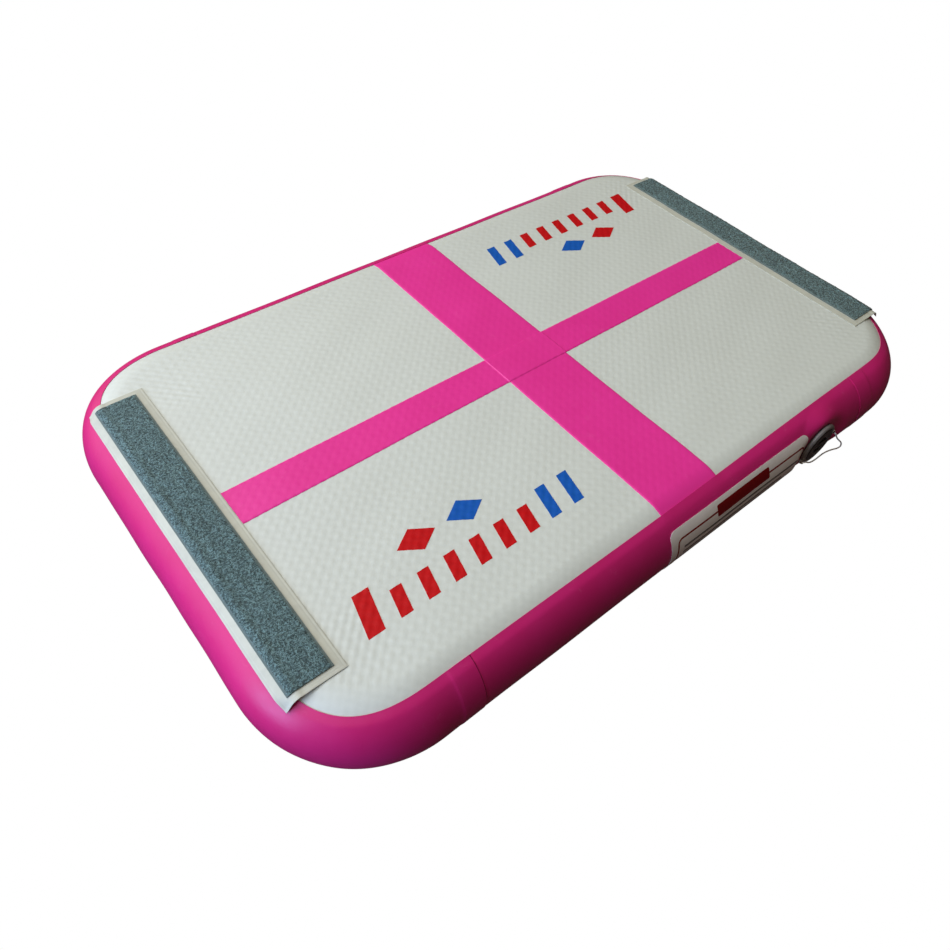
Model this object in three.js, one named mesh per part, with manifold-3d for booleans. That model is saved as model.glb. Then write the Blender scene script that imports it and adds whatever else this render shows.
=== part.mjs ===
// Air track mat: a short inflatable tumbling board of drop-stitch fabric, with a screw-cap air valve.
// Millimetres. +X runs along the mat, +Z up, origin on the floor under the mat's middle.
// The valve and the label are on the near long side, which faces -Y.
import * as THREE from 'three';
import { mergeVertices } from 'three/addons/utils/BufferGeometryUtils.js';
import Module from 'manifold-3d';

const wasm = await Module();
wasm.setup();

// ---- Driving dimensions -------------------------------------------------------------------------

const MAT_LENGTH = 1000;
const MAT_WIDTH = 600;
const MAT_HEIGHT = 100;
const CORNER_RADIUS = 138;      // outermost outline of the side wall, seen from above
const GLUE_GAP = 0.3;           // glue line between two bonded layers

const SHEET_THICKNESS = 0.9;    // coated top and bottom sheets
const BAND_THICKNESS = 0.6;     // side bands and tapes
const SHEET_EDGE_ANGLE = 42;    // the sheets wrap down the shoulder to this angle above mid height
const INNER_BAND_ANGLE = 58;
const OUTER_BAND_ANGLE = 66;
const CORNER_DIP = 0.13;        // the bands' edges lie lower by this share of their angle round the corners
const SIDE_BAND_HALF_LENGTH = 341.5;
const SEAM_LEFT_X = -317.5;     // edges of the end bands, which overlap the side bands
const SEAM_RIGHT_X = 315.5;
const SEAM_RAMP = 4;            // past the covered end, before an end band comes back down

const CROSS_TAPE_WIDTH = 95;
const CROSS_TAPE_X = -4;
const CROSS_TAPE_END_ANGLE = 61.5;
const LENGTH_TAPE_WIDTH = 48;
const TAPE_RAMP = 3;

const BACKING_THICKNESS = 0.8;
const BACKING_INNER_X = 411.7;
const BACKING_HALF_LENGTH = 214;
const BACKING_WIDTH = 68;
const PATCH_CLEARANCE = 0.5;
const PATCH_CLIMB_START = 15;   // before the outer band's edge, where a patch starts to rise on to it
const PATCH_CLIMB_END = 8;
const LOOP_THICKNESS = 2.2;
const LOOP_MARGIN = 10;         // of bare backing on each long side of the loop strip
const LOOP_HALF_LENGTH = 206.5;

const LABEL_THICKNESS = 0.3;
const LABEL_LEFT_X = -55;
const LABEL_RIGHT_X = 200;
const LABEL_HALF_ROWS = 4;        // rows of the side wall that the label covers above mid height

const CLOTH_THICKNESS = 0.5;    // woven base cloths of the drop-stitch core
const YARN_SIDE = 2;            // one bundle of the yarns that tie the two cloths together
const YARN_COLUMNS = 12;
const YARN_ROWS = 7;
const YARN_HALF_SPAN_X = 412;
const YARN_HALF_SPAN_Y = 206;

// Valve: radii from its axis, depths measured into the mat from the flange's face.
const VALVE_X = 233;
const VALVE_Z = 52;
const VALVE_FACE_Y = -298.5;
const FLANGE_RADIUS = 29;
const FLANGE_DEPTH = 4.5;
const FLANGE_BEVEL = 1.6;
const RECESS_RADIUS = 24.5;
const RECESS_DEPTH = 3.6;
const TUBE_RADIUS = 18;
const TUBE_END = 34;
const THREAD_RADIUS = 16;
const SEAT_DEPTH = 14;
const SOCKET_RADIUS = 13.5;
const GUIDE_RADIUS = 5.5;
const GUIDE_TOP = 28.5;
const SPOKE_WIDTH = 2.2;
const SPOKE_TOP = 31;
const SPOKE_COUNT = 4;
const FIRST_SPOKE_ANGLE = 45;
const NOZZLE_LUG_COUNT = 2;
const NOZZLE_LUG = { top: 15, bottom: 17.5, reach: 1.4, width: 5 };
const STEM_RADIUS = 2.5;
const STEM_HEAD_RADIUS = 5;
const STEM_HEAD_TOP = 18.5;
const STEM_HEAD_BOTTOM = 20.5;
const STEM_END = 40;
const STEM_CHAMFER = 0.8;
const RUNNING_GAP = 0.4;
const DIAPHRAGM_RADIUS = 16;
const DIAPHRAGM_THICKNESS = 2;
const CLIP_RADIUS = 6;
const CLIP_THICKNESS = 1.4;
const SPRING_RADIUS = 4.1;
const SPRING_WIRE_RADIUS = 0.4;
const SPRING_TURNS = 4;
const CAP_RADIUS = 24;
const CAP_PROUD = 0.8;
const CAP_PLATE_BACK = 1.9;
const CAP_PLUG_RADIUS = 15.4;
const CAP_PLUG_END = 11;
const CAP_POCKET_RADIUS = 12.4;
const CAP_POCKET_DEPTH = 8;
const CAP_GRIP_WIDTH = 6;
const CAP_CHAMFER = 1;
const SEAL_INNER_RADIUS = 11.5;
const RING_OUTER_RADIUS = 20.5;
const RING_THICKNESS = 1.1;
const ARM_WIDTH = 4;
const ARM_ANGLE = 17;
const POST_RADIUS = 1.7;
const POST_AT_RADIUS = 26.4;
const POST_PROUD = 1.2;
const LUG_ANGLE = 215;
const LUG_RADIUS = 3.2;
const LUG_AT_RADIUS = 30.5;
const LUG_TOP = 1.2;
const LUG_EYE_RADIUS = 1.2;
const GASKET_THICKNESS = 1;
const GASKET_RADIUS = 28;
const DOUBLER_THICKNESS = 0.8;
const DOUBLER_RADIUS = 28;
const NUT_RADIUS = 25;
const NUT_THICKNESS = 5;
const NUT_NOTCHES = 6;
const NUT_NOTCH = { width: 6, deep: 3, shoulder: 1.5 };
const CORD_RADIUS = 0.9;

// The wall is held flat against the flange, and eases back to its own bulge around it.
const FLAT_RADIUS = 34;
const EASE_ALONG = 24;
const EASE_UP = 10;

// ---- Facet counts -------------------------------------------------------------------------------

const CORNER_STEPS = 7;
const ROW_STEP = 10.65;         // degrees between the rows of a wall layer
const WIDE_SPACING = 75;        // stops along the near side, away from the valve
const CLOSE_SPACING = 8.5;      // and around it
const SHEET_ROWS = 4;
const SHOULDER_STEPS = 4;
const PATCH_STEPS = 8;          // over the loop strip's width
const ROUND_STEPS = 40;
const SMALL_ROUND_STEPS = 24;
const CORD_SIDES = 8;
const CORD_STEPS = 64;
const SPRING_STEPS_PER_TURN = 12;
const SPRING_SIDES = 6;

// ---- Derived sizes ------------------------------------------------------------------------------

const MID_Z = MAT_HEIGHT / 2;
const SHEET_RADIUS = MID_Z;
const INNER_BAND_RADIUS = SHEET_RADIUS + GLUE_GAP + BAND_THICKNESS;
const OUTER_BAND_RADIUS = INNER_BAND_RADIUS + GLUE_GAP + BAND_THICKNESS;
const CORE_HALF_LENGTH = MAT_LENGTH / 2 - OUTER_BAND_RADIUS;
const CORE_HALF_WIDTH = MAT_WIDTH / 2 - OUTER_BAND_RADIUS;
const CORE_CORNER = CORNER_RADIUS - OUTER_BAND_RADIUS;
const CORNER_X = CORE_HALF_LENGTH - CORE_CORNER;
const CORNER_Y = CORE_HALF_WIDTH - CORE_CORNER;
const LAYER_STEP = GLUE_GAP + BAND_THICKNESS;
const GASKET_TOP = FLANGE_DEPTH + GLUE_GAP;
const WALL_DEPTH = GASKET_TOP + GASKET_THICKNESS + GLUE_GAP;
const FLAT_WALL_Y = VALVE_FACE_Y + WALL_DEPTH;
const DOUBLER_TOP = WALL_DEPTH + 2 * BAND_THICKNESS + 2 * GLUE_GAP;
const NUT_TOP = DOUBLER_TOP + DOUBLER_THICKNESS + GLUE_GAP;
const RING_TOP = CAP_PLATE_BACK + GLUE_GAP;
const SEAL_TOP = CAP_PLUG_END + GLUE_GAP;
const SEAL_BOTTOM = SEAT_DEPTH - GLUE_GAP;
const DIAPHRAGM_TOP = TUBE_END + GLUE_GAP;
const CLIP_TOP = DIAPHRAGM_TOP + DIAPHRAGM_THICKNESS + GLUE_GAP;
const BORE_CLEARANCE = 0.4;

const CUT_PAST = 1;             // how far a cutter runs past the face it cuts
const WELD_OVERLAP = 0.8;       // how far two shapes run into each other before they are joined
const MERGE_TOLERANCE = 1e-4;

const radians = THREE.MathUtils.degToRad;
const smooth = THREE.MathUtils.smoothstep;

// ---- Solids from points -------------------------------------------------------------------------

// A geometry from corner points and triangles, turned right way out if its volume comes out negative.
function closedGeometry(points, triangles) {
  let volume = 0;
  for (const [a, b, c] of triangles) {
    volume += points[a].dot(new THREE.Vector3().crossVectors(points[b], points[c]));
  }
  const order = volume > 0 ? [0, 1, 2] : [0, 2, 1];
  const coordinates = points.flatMap((point) => point.toArray());
  const geometry = new THREE.BufferGeometry();
  geometry.setAttribute('position', new THREE.Float32BufferAttribute(coordinates, 3));
  geometry.setIndex(triangles.flatMap((t) => order.map((k) => t[k])));
  return geometry;
}

function quad(triangles, a, b, c, d) {
  triangles.push([a, b, c], [a, c, d]);
}

// A thick sheet on a grid. pointAt(column, row, layer) gives the under side (layer 0) and the outer side
// (layer 1). A loop joins its last column to its first.
function sheetSolid(columns, rows, pointAt, loop = false) {
  const points = [];
  const columnCount = loop ? columns : columns + 1;
  for (let i = 0; i < columnCount; i += 1) {
    for (let j = 0; j <= rows; j += 1) {
      points.push(pointAt(i, j, 0), pointAt(i, j, 1));
    }
  }
  const at = (i, j, layer) => 2 * ((i % columnCount) * (rows + 1) + j) + layer;
  const triangles = [];
  for (let i = 0; i < columns; i += 1) {
    for (let j = 0; j < rows; j += 1) {
      quad(triangles, at(i, j, 1), at(i + 1, j, 1), at(i + 1, j + 1, 1), at(i, j + 1, 1));
      quad(triangles, at(i, j, 0), at(i, j + 1, 0), at(i + 1, j + 1, 0), at(i + 1, j, 0));
    }
    quad(triangles, at(i, 0, 0), at(i + 1, 0, 0), at(i + 1, 0, 1), at(i, 0, 1));
    quad(triangles, at(i, rows, 0), at(i, rows, 1), at(i + 1, rows, 1), at(i + 1, rows, 0));
  }
  for (let j = 0; j < rows && !loop; j += 1) {
    quad(triangles, at(0, j, 0), at(0, j, 1), at(0, j + 1, 1), at(0, j + 1, 0));
    quad(triangles, at(columns, j, 0), at(columns, j + 1, 0), at(columns, j + 1, 1), at(columns, j, 1));
  }
  return closedGeometry(points, triangles);
}

// A thick lid: rings that run outward from a flat middle, pointAt(station, ring, layer).
function lidSolid(stations, rings, pointAt, centreAt) {
  const points = [centreAt(0), centreAt(1)];
  for (let i = 0; i < stations; i += 1) {
    for (let j = 0; j <= rings; j += 1) {
      points.push(pointAt(i, j, 0), pointAt(i, j, 1));
    }
  }
  const at = (i, j, layer) => 2 + 2 * ((i % stations) * (rings + 1) + j) + layer;
  const triangles = [];
  for (let i = 0; i < stations; i += 1) {
    triangles.push([1, at(i + 1, 0, 1), at(i, 0, 1)], [0, at(i, 0, 0), at(i + 1, 0, 0)]);
    for (let j = 0; j < rings; j += 1) {
      quad(triangles, at(i, j, 1), at(i + 1, j, 1), at(i + 1, j + 1, 1), at(i, j + 1, 1));
      quad(triangles, at(i, j, 0), at(i, j + 1, 0), at(i + 1, j + 1, 0), at(i + 1, j, 0));
    }
    quad(triangles, at(i, rings, 0), at(i, rings, 1), at(i + 1, rings, 1), at(i + 1, rings, 0));
  }
  return closedGeometry(points, triangles);
}

// A turned piece about the valve's axis: profile points are [radius, depth].
function turned(profile, steps = ROUND_STEPS) {
  const outline = profile.map(([radius, depth]) => new THREE.Vector2(radius, depth));
  return positionsOnly(new THREE.LatheGeometry(outline, steps));
}

function ring(innerRadius, outerRadius, top, bottom, steps = ROUND_STEPS) {
  return turned([
    [innerRadius, top], [outerRadius, top], [outerRadius, bottom], [innerRadius, bottom], [innerRadius, top],
  ], steps);
}

function disc(radius, top, bottom, steps = ROUND_STEPS) {
  return turned([[0, top], [radius, top], [radius, bottom], [0, bottom]], steps);
}

// A box that reaches outward from the valve's axis at an angle (0 is +X, 90 is up).
function radialBox(fromRadius, toRadius, width, top, bottom, angle) {
  const box = new THREE.BoxGeometry(toRadius - fromRadius, bottom - top, width);
  box.translate((fromRadius + toRadius) / 2, (top + bottom) / 2, 0);
  box.rotateY(-radians(angle));
  return box;
}

function discAt(radius, top, bottom, atRadius, angle) {
  const round = disc(radius, top, bottom, SMALL_ROUND_STEPS);
  round.translate(atRadius * Math.cos(radians(angle)), 0, atRadius * Math.sin(radians(angle)));
  return round;
}

// Vertices shared between faces, and faces turned outward.
function positionsOnly(source) {
  const bare = source.clone();
  bare.deleteAttribute('normal');
  bare.deleteAttribute('uv');
  const merged = mergeVertices(bare, MERGE_TOLERANCE);
  const points = [];
  for (let i = 0; i < merged.attributes.position.count; i += 1) {
    points.push(new THREE.Vector3().fromBufferAttribute(merged.attributes.position, i));
  }
  const triangles = [];
  for (let i = 0; i < merged.index.count; i += 3) {
    const t = [merged.index.getX(i), merged.index.getX(i + 1), merged.index.getX(i + 2)];
    if (t[0] !== t[1] && t[1] !== t[2] && t[2] !== t[0]) {
      triangles.push(t);
    }
  }
  return closedGeometry(points, triangles);
}

function toSolid(source) {
  const geometry = positionsOnly(source);
  return new wasm.Manifold(new wasm.Mesh({
    numProp: 3,
    vertProperties: new Float32Array(geometry.attributes.position.array),
    triVerts: new Uint32Array(geometry.index.array),
  }));
}

function toGeometry(solid) {
  const mesh = solid.getMesh();
  const geometry = new THREE.BufferGeometry();
  geometry.setAttribute('position', new THREE.BufferAttribute(new Float32Array(mesh.vertProperties), 3));
  geometry.setIndex(new THREE.BufferAttribute(new Uint32Array(mesh.triVerts), 1));
  return geometry;
}

function joined(base, additions) {
  return toGeometry(additions.reduce((solid, piece) => solid.add(toSolid(piece)), toSolid(base)));
}

function cut(base, cutters) {
  return toGeometry(cutters.reduce((solid, piece) => solid.subtract(toSolid(piece)), toSolid(base)));
}

// ---- The inflated outline -----------------------------------------------------------------------

// Stations on the flat part's outline: a point and the direction that faces straight out there.
function sideStation(x, side) {
  return { x, y: side * CORE_HALF_WIDTH, outX: 0, outY: side, near: side < 0, lean: 1 };
}

function nearStation(x) {
  return sideStation(x, -1);
}

function cornerStations(signX, signY, startAngle) {
  const stations = [];
  for (let k = 0; k <= CORNER_STEPS; k += 1) {
    const turn = (90 * k) / CORNER_STEPS;
    const angle = radians(startAngle + turn);
    const outX = Math.cos(angle);
    const outY = Math.sin(angle);
    stations.push({
      x: signX * CORNER_X + CORE_CORNER * outX,
      y: signY * CORNER_Y + CORE_CORNER * outY,
      outX,
      outY,
      near: false,
      lean: 1 - CORNER_DIP * Math.sin(radians(2 * turn)) ** 2,
    });
  }
  return stations;
}

// From the near side's right end, round the right end, far side and left end, to the near side's left end.
function aroundTheEnds() {
  return [
    ...cornerStations(1, -1, -90),
    ...cornerStations(1, 1, 0),
    ...cornerStations(-1, 1, 90),
    ...cornerStations(-1, -1, 180),
  ];
}

// Stops along the near side, close together around the valve.
function nearStops(fromX, toX) {
  const stops = [fromX];
  const reach = FLAT_RADIUS + EASE_ALONG;
  for (let x = fromX + WIDE_SPACING; x < VALVE_X - reach - CLOSE_SPACING; x += WIDE_SPACING) {
    stops.push(x);
  }
  const closeCount = Math.round((2 * reach) / CLOSE_SPACING);
  for (let k = 0; k <= closeCount; k += 1) {
    stops.push(VALVE_X - reach + (2 * reach * k) / closeCount);
  }
  if (toX > stops.at(-1)) {
    stops.push(toX);
  }
  return stops;
}

// How far a wall point is pulled to the flat face under the flange: 1 on it, 0 on the free bulge.
function flatShare(x, z) {
  const along = x - VALVE_X;
  const up = z - VALVE_Z;
  const distance = Math.hypot(along, up);
  if (distance <= FLAT_RADIUS) {
    return 1;
  }
  const ease = (EASE_ALONG * along ** 2 + EASE_UP * up ** 2) / distance ** 2;
  return 1 - smooth(distance, FLAT_RADIUS, FLAT_RADIUS + ease);
}

// A point of the half-round side wall, on the layer of the given radius.
function wallPoint(station, angle, radius) {
  const reach = radius * Math.cos(radians(angle));
  const z = MID_Z + radius * Math.sin(radians(angle));
  const point = new THREE.Vector3(station.x + station.outX * reach, station.y + station.outY * reach, z);
  if (station.near) {
    const flatY = FLAT_WALL_Y + OUTER_BAND_RADIUS - radius;
    point.y = THREE.MathUtils.lerp(point.y, flatY, flatShare(point.x, point.z));
  }
  return point;
}

// ---- Air chamber --------------------------------------------------------------------------------

// The top sheet (side 1) or the bottom sheet (side -1), wrapped over its shoulder.
function coatedSheet(side) {
  const stations = aroundTheEnds();
  const layerRadius = [SHEET_RADIUS - SHEET_THICKNESS, SHEET_RADIUS];
  const pointAt = (i, j, layer) => {
    const angle = 90 - ((90 - SHEET_EDGE_ANGLE) * j) / SHEET_ROWS;
    return wallPoint(stations[i], side * angle, layerRadius[layer]);
  };
  const centreAt = (layer) => new THREE.Vector3(0, 0, MID_Z + side * layerRadius[layer]);
  return lidSolid(stations.length, SHEET_ROWS, pointAt, centreAt);
}

// One base cloth of the core as a flat plate with the outline of the flat part.
function baseCloth(side) {
  const shape = new THREE.Shape(aroundTheEnds().map((s) => new THREE.Vector2(s.x, s.y)));
  const plate = new THREE.ExtrudeGeometry(shape, { depth: CLOTH_THICKNESS, bevelEnabled: false });
  const underSkin = SHEET_RADIUS - SHEET_THICKNESS - GLUE_GAP;
  plate.translate(0, 0, side > 0 ? MID_Z + underSkin - CLOTH_THICKNESS : MID_Z - underSkin);
  return plate;
}

// Upper and lower cloth, tied together by standing yarns.
function dropStitchCore() {
  const yarns = [];
  const yarnLength = 2 * (SHEET_RADIUS - SHEET_THICKNESS - GLUE_GAP) - CLOTH_THICKNESS;
  for (let i = 0; i < YARN_COLUMNS; i += 1) {
    for (let j = 0; j < YARN_ROWS; j += 1) {
      const yarn = new THREE.BoxGeometry(YARN_SIDE, YARN_SIDE, yarnLength);
      const x = YARN_HALF_SPAN_X * ((2 * i) / (YARN_COLUMNS - 1) - 1);
      const y = YARN_HALF_SPAN_Y * ((2 * j) / (YARN_ROWS - 1) - 1);
      yarn.translate(x, y, MID_Z);
      yarns.push(yarn);
    }
  }
  return joined(baseCloth(1), [...yarns, baseCloth(-1)]);
}

function valveHole() {
  const hole = disc(TUBE_RADIUS + BORE_CLEARANCE, WALL_DEPTH - CUT_PAST, DOUBLER_TOP + CUT_PAST);
  hole.translate(VALVE_X, VALVE_FACE_Y, VALVE_Z);
  return hole;
}

// Angles of the rows of a wall layer. All layers share their rows, so that they lie evenly on each other,
// and one that reaches past the inner band has a row on that band's edge.
function rowAngles(edgeAngle) {
  const upper = [INNER_BAND_ANGLE, edgeAngle].filter((angle) => angle <= edgeAngle);
  for (let angle = ROW_STEP; angle < edgeAngle - MERGE_TOLERANCE; angle += ROW_STEP) {
    upper.push(angle);
  }
  const sorted = [...new Set(upper)].sort((a, b) => a - b);
  return [...sorted.map((angle) => -angle).reverse(), 0, ...sorted];
}

// A layer of the side wall on the given stations, up to an edge angle, with a radius for each station.
function wallLayer(stations, edgeAngle, radiusAt, thickness, loop = false) {
  const angles = rowAngles(edgeAngle);
  const pointAt = (i, j, layer) => {
    const angle = angles[j] * stations[i].lean;
    return wallPoint(stations[i], angle, radiusAt(stations[i]) - (1 - layer) * thickness);
  };
  return sheetSolid(loop ? stations.length : stations.length - 1, angles.length - 1, pointAt, loop);
}

// The first layer, which closes the chamber all the way round.
function innerBand() {
  const near = nearStops(-CORNER_X, CORNER_X).slice(1, -1).map(nearStation);
  const stations = [...aroundTheEnds(), ...near];
  const band = wallLayer(stations, INNER_BAND_ANGLE, () => INNER_BAND_RADIUS, BAND_THICKNESS, true);
  return cut(band, [valveHole()]);
}

// The outer band of a long side: -1 is the near side, which has the valve's hole, and 1 the far side.
function outerBandSide(side) {
  const ends = [-SIDE_BAND_HALF_LENGTH, SIDE_BAND_HALF_LENGTH];
  const stops = side < 0 ? nearStops(...ends) : ends.reverse();
  const stations = stops.map((x) => sideStation(x, side));
  const band = wallLayer(stations, OUTER_BAND_ANGLE, () => OUTER_BAND_RADIUS, BAND_THICKNESS);
  return side < 0 ? cut(band, [valveHole()]) : band;
}

// The band that wraps an end and overlaps both side bands. The stops start at the seam.
function outerBandEnd(side, seamX, firstCorner, secondCorner) {
  const overlapEnd = side * (SIDE_BAND_HALF_LENGTH + SEAM_RAMP);
  const lap = (ySide) => [seamX, overlapEnd].map((x) => ({ ...sideStation(x, ySide), lapped: true }));
  const stations = [...lap(-side), ...firstCorner, ...secondCorner, ...lap(side).reverse()];
  const radiusAt = (station) => OUTER_BAND_RADIUS + (station.lapped ? LAYER_STEP : 0);
  return wallLayer(stations, OUTER_BAND_ANGLE, radiusAt, BAND_THICKNESS);
}

function leftEndBand() {
  return outerBandEnd(-1, SEAM_LEFT_X, cornerStations(-1, 1, 90), cornerStations(-1, -1, 180));
}

function rightEndBand() {
  return outerBandEnd(1, SEAM_RIGHT_X, cornerStations(1, -1, -90), cornerStations(1, 1, 0));
}

// ---- Bonded on top ------------------------------------------------------------------------------

// A tape that follows a path in a vertical plane: path points are { along, z, outAlong, outZ }, with the
// outward direction, and toWorld places a point from its distance along, its distance across and its height.
function tapeAlong(path, width, centre, toWorld) {
  const pointAt = (i, j, layer) => {
    const { along, z, outAlong, outZ } = path[i];
    const raise = BAND_THICKNESS * layer;
    return toWorld(along + outAlong * raise, centre + width * (j - 0.5), z + outZ * raise);
  };
  return sheetSolid(path.length - 1, 1, pointAt);
}

// The wide tape across the mat: flat on top, and over both shoulders to just above the inner band.
function crossTape() {
  const radius = SHEET_RADIUS + GLUE_GAP;
  const shoulder = (side) => {
    const points = [];
    for (let k = 0; k <= SHOULDER_STEPS; k += 1) {
      const angle = radians(90 - ((90 - CROSS_TAPE_END_ANGLE) * k) / SHOULDER_STEPS);
      points.push({
        along: side * (CORE_HALF_WIDTH + radius * Math.cos(angle)),
        z: MID_Z + radius * Math.sin(angle),
        outAlong: side * Math.cos(angle),
        outZ: Math.sin(angle),
      });
    }
    return points;
  };
  const path = [...shoulder(-1).reverse(), ...shoulder(1)];
  const toWorld = (along, across, z) => new THREE.Vector3(across, along, z);
  return tapeAlong(path, CROSS_TAPE_WIDTH, CROSS_TAPE_X, toWorld);
}

// The narrow tape along the mat, which steps up over the wide one.
function lengthTape() {
  const low = MID_Z + SHEET_RADIUS + GLUE_GAP;
  const high = low + LAYER_STEP;
  const end = BACKING_INNER_X - GLUE_GAP;
  const left = CROSS_TAPE_X - CROSS_TAPE_WIDTH / 2;
  const right = CROSS_TAPE_X + CROSS_TAPE_WIDTH / 2;
  const heights = [
    [-end, low], [left - 2 * TAPE_RAMP, low], [left - TAPE_RAMP, high],
    [right + TAPE_RAMP, high], [right + 2 * TAPE_RAMP, low], [end, low],
  ];
  const path = heights.map(([along, z]) => ({ along, z, outAlong: 0, outZ: 1 }));
  const toWorld = (along, across, z) => new THREE.Vector3(along, across, z);
  return tapeAlong(path, LENGTH_TAPE_WIDTH, 0, toWorld);
}

// Distances over the skin from the backing's inner edge, across the loop strip's width.
function loopDistances() {
  const width = BACKING_WIDTH - 2 * LOOP_MARGIN;
  return Array.from({ length: PATCH_STEPS + 1 }, (_, k) => LOOP_MARGIN + (width * k) / PATCH_STEPS);
}

// Height of a patch's under side above the sheet's skin: it climbs on to the outer band's edge.
function patchLift(angle) {
  const bandEdge = OUTER_BAND_RADIUS * Math.cos(radians(OUTER_BAND_ANGLE));
  const start = bandEdge - PATCH_CLIMB_START;
  const end = bandEdge - PATCH_CLIMB_END;
  const climb = smooth(SHEET_RADIUS * Math.sin(angle), start, end);
  return PATCH_CLEARANCE + (OUTER_BAND_RADIUS - SHEET_RADIUS) * climb;
}

// A patch glued over one end's shoulder. It is stiff, so its section is the same from end to end, and
// its ends stand clear of the mat's round corners. side is -1 at the left end, 1 at the right.
function endPatch(side, halfLength, distances, raise, thickness) {
  const pointAt = (i, j, layer) => {
    const beyond = BACKING_INNER_X + distances[j] - CORE_HALF_LENGTH;
    const angle = Math.max(beyond, 0) / OUTER_BAND_RADIUS;
    const reach = SHEET_RADIUS + patchLift(angle) + raise + layer * thickness;
    const x = CORE_HALF_LENGTH + Math.min(beyond, 0) + reach * Math.sin(angle);
    const y = i === 0 ? -halfLength : halfLength;
    return new THREE.Vector3(side * x, y, MID_Z + reach * Math.cos(angle));
  };
  return sheetSolid(1, distances.length - 1, pointAt);
}

function loopBacking(side) {
  const distances = [0, ...loopDistances(), BACKING_WIDTH];
  return endPatch(side, BACKING_HALF_LENGTH, distances, 0, BACKING_THICKNESS);
}

function loopStrip(side) {
  return endPatch(side, LOOP_HALF_LENGTH, loopDistances(), BACKING_THICKNESS + GLUE_GAP, LOOP_THICKNESS);
}

function labelPatch() {
  const stations = nearStops(LABEL_LEFT_X, LABEL_RIGHT_X).filter((x) => x < LABEL_RIGHT_X).map(nearStation);
  const radius = OUTER_BAND_RADIUS + GLUE_GAP + LABEL_THICKNESS;
  return wallLayer(stations, LABEL_HALF_ROWS * ROW_STEP, () => radius, LABEL_THICKNESS);
}

// ---- Valve (about its own axis, depth along +Y from the flange's face) --------------------------

// The body: flange with its recess and tether lug, threaded socket with the stem's guide, and outer tube.
function valveBody() {
  const shell = turned([
    [RECESS_RADIUS, 0],
    [FLANGE_RADIUS - FLANGE_BEVEL, 0],
    [FLANGE_RADIUS, FLANGE_BEVEL],
    [FLANGE_RADIUS, FLANGE_DEPTH],
    [TUBE_RADIUS, FLANGE_DEPTH],
    [TUBE_RADIUS, TUBE_END],
    [SOCKET_RADIUS, TUBE_END],
    [SOCKET_RADIUS, SEAT_DEPTH],
    [THREAD_RADIUS, SEAT_DEPTH],
    [THREAD_RADIUS, RECESS_DEPTH],
    [RECESS_RADIUS, RECESS_DEPTH],
    [RECESS_RADIUS, 0],
  ]);
  const tetherLug = discAt(LUG_RADIUS, LUG_TOP, FLANGE_DEPTH, LUG_AT_RADIUS, LUG_ANGLE);
  const additions = [...stemGuide(), ...nozzleLugs(), tetherLug];
  const slotWidth = ARM_WIDTH + 2 * GLUE_GAP;
  const eyeAtRadius = FLANGE_RADIUS + LUG_EYE_RADIUS + GLUE_GAP + CUT_PAST;
  return cut(joined(shell, additions), [
    radialBox(RING_OUTER_RADIUS, FLANGE_RADIUS + CUT_PAST, slotWidth, -CUT_PAST, RECESS_DEPTH, ARM_ANGLE),
    discAt(LUG_EYE_RADIUS, LUG_TOP - CUT_PAST, FLANGE_DEPTH + CUT_PAST, eyeAtRadius, LUG_ANGLE),
  ]);
}

// The tube in the middle of the socket that the stem slides in, and its spokes.
function stemGuide() {
  const pieces = [ring(STEM_RADIUS + RUNNING_GAP, GUIDE_RADIUS, GUIDE_TOP, TUBE_END, SMALL_ROUND_STEPS)];
  for (let k = 0; k < SPOKE_COUNT; k += 1) {
    const angle = FIRST_SPOKE_ANGLE + (360 * k) / SPOKE_COUNT;
    const from = GUIDE_RADIUS - WELD_OVERLAP;
    pieces.push(radialBox(from, SOCKET_RADIUS + WELD_OVERLAP, SPOKE_WIDTH, SPOKE_TOP, TUBE_END, angle));
  }
  return pieces;
}

// The lugs in the socket's mouth that a pump nozzle twists under.
function nozzleLugs() {
  const { top, bottom, reach, width } = NOZZLE_LUG;
  return Array.from({ length: NOZZLE_LUG_COUNT }, (_, k) => {
    const angle = (360 * k) / NOZZLE_LUG_COUNT;
    return radialBox(SOCKET_RADIUS - reach, SOCKET_RADIUS + WELD_OVERLAP, width, top, bottom, angle);
  });
}

// A flat ring that the valve's tube passes through.
function tubeWasher(radius, top, thickness) {
  return ring(TUBE_RADIUS + BORE_CLEARANCE, radius, top, top + thickness);
}

// A flat ring around the stem.
function stemWasher(radius, top, thickness, steps) {
  return ring(STEM_RADIUS + RUNNING_GAP, radius, top, top + thickness, steps);
}

function valveGasket() {
  return tubeWasher(GASKET_RADIUS, GASKET_TOP, GASKET_THICKNESS);
}

function valveDoubler() {
  return tubeWasher(DOUBLER_RADIUS, DOUBLER_TOP, DOUBLER_THICKNESS);
}

// The ring nut behind the wall, notched for a spanner.
function valveNut() {
  const { width, deep, shoulder } = NUT_NOTCH;
  const bottom = NUT_TOP + NUT_THICKNESS + CUT_PAST;
  const notches = Array.from({ length: NUT_NOTCHES }, (_, k) => {
    const angle = (360 * k) / NUT_NOTCHES;
    return radialBox(NUT_RADIUS - deep, NUT_RADIUS + CUT_PAST, width, NUT_TOP + shoulder, bottom, angle);
  });
  return cut(tubeWasher(NUT_RADIUS, NUT_TOP, NUT_THICKNESS), notches);
}

function valveDiaphragm() {
  return stemWasher(DIAPHRAGM_RADIUS, DIAPHRAGM_TOP, DIAPHRAGM_THICKNESS, ROUND_STEPS);
}

function stemClip() {
  return stemWasher(CLIP_RADIUS, CLIP_TOP, CLIP_THICKNESS, SMALL_ROUND_STEPS);
}

function capSeal() {
  return ring(SEAL_INNER_RADIUS, CAP_PLUG_RADIUS, SEAL_TOP, SEAL_BOTTOM);
}

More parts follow.
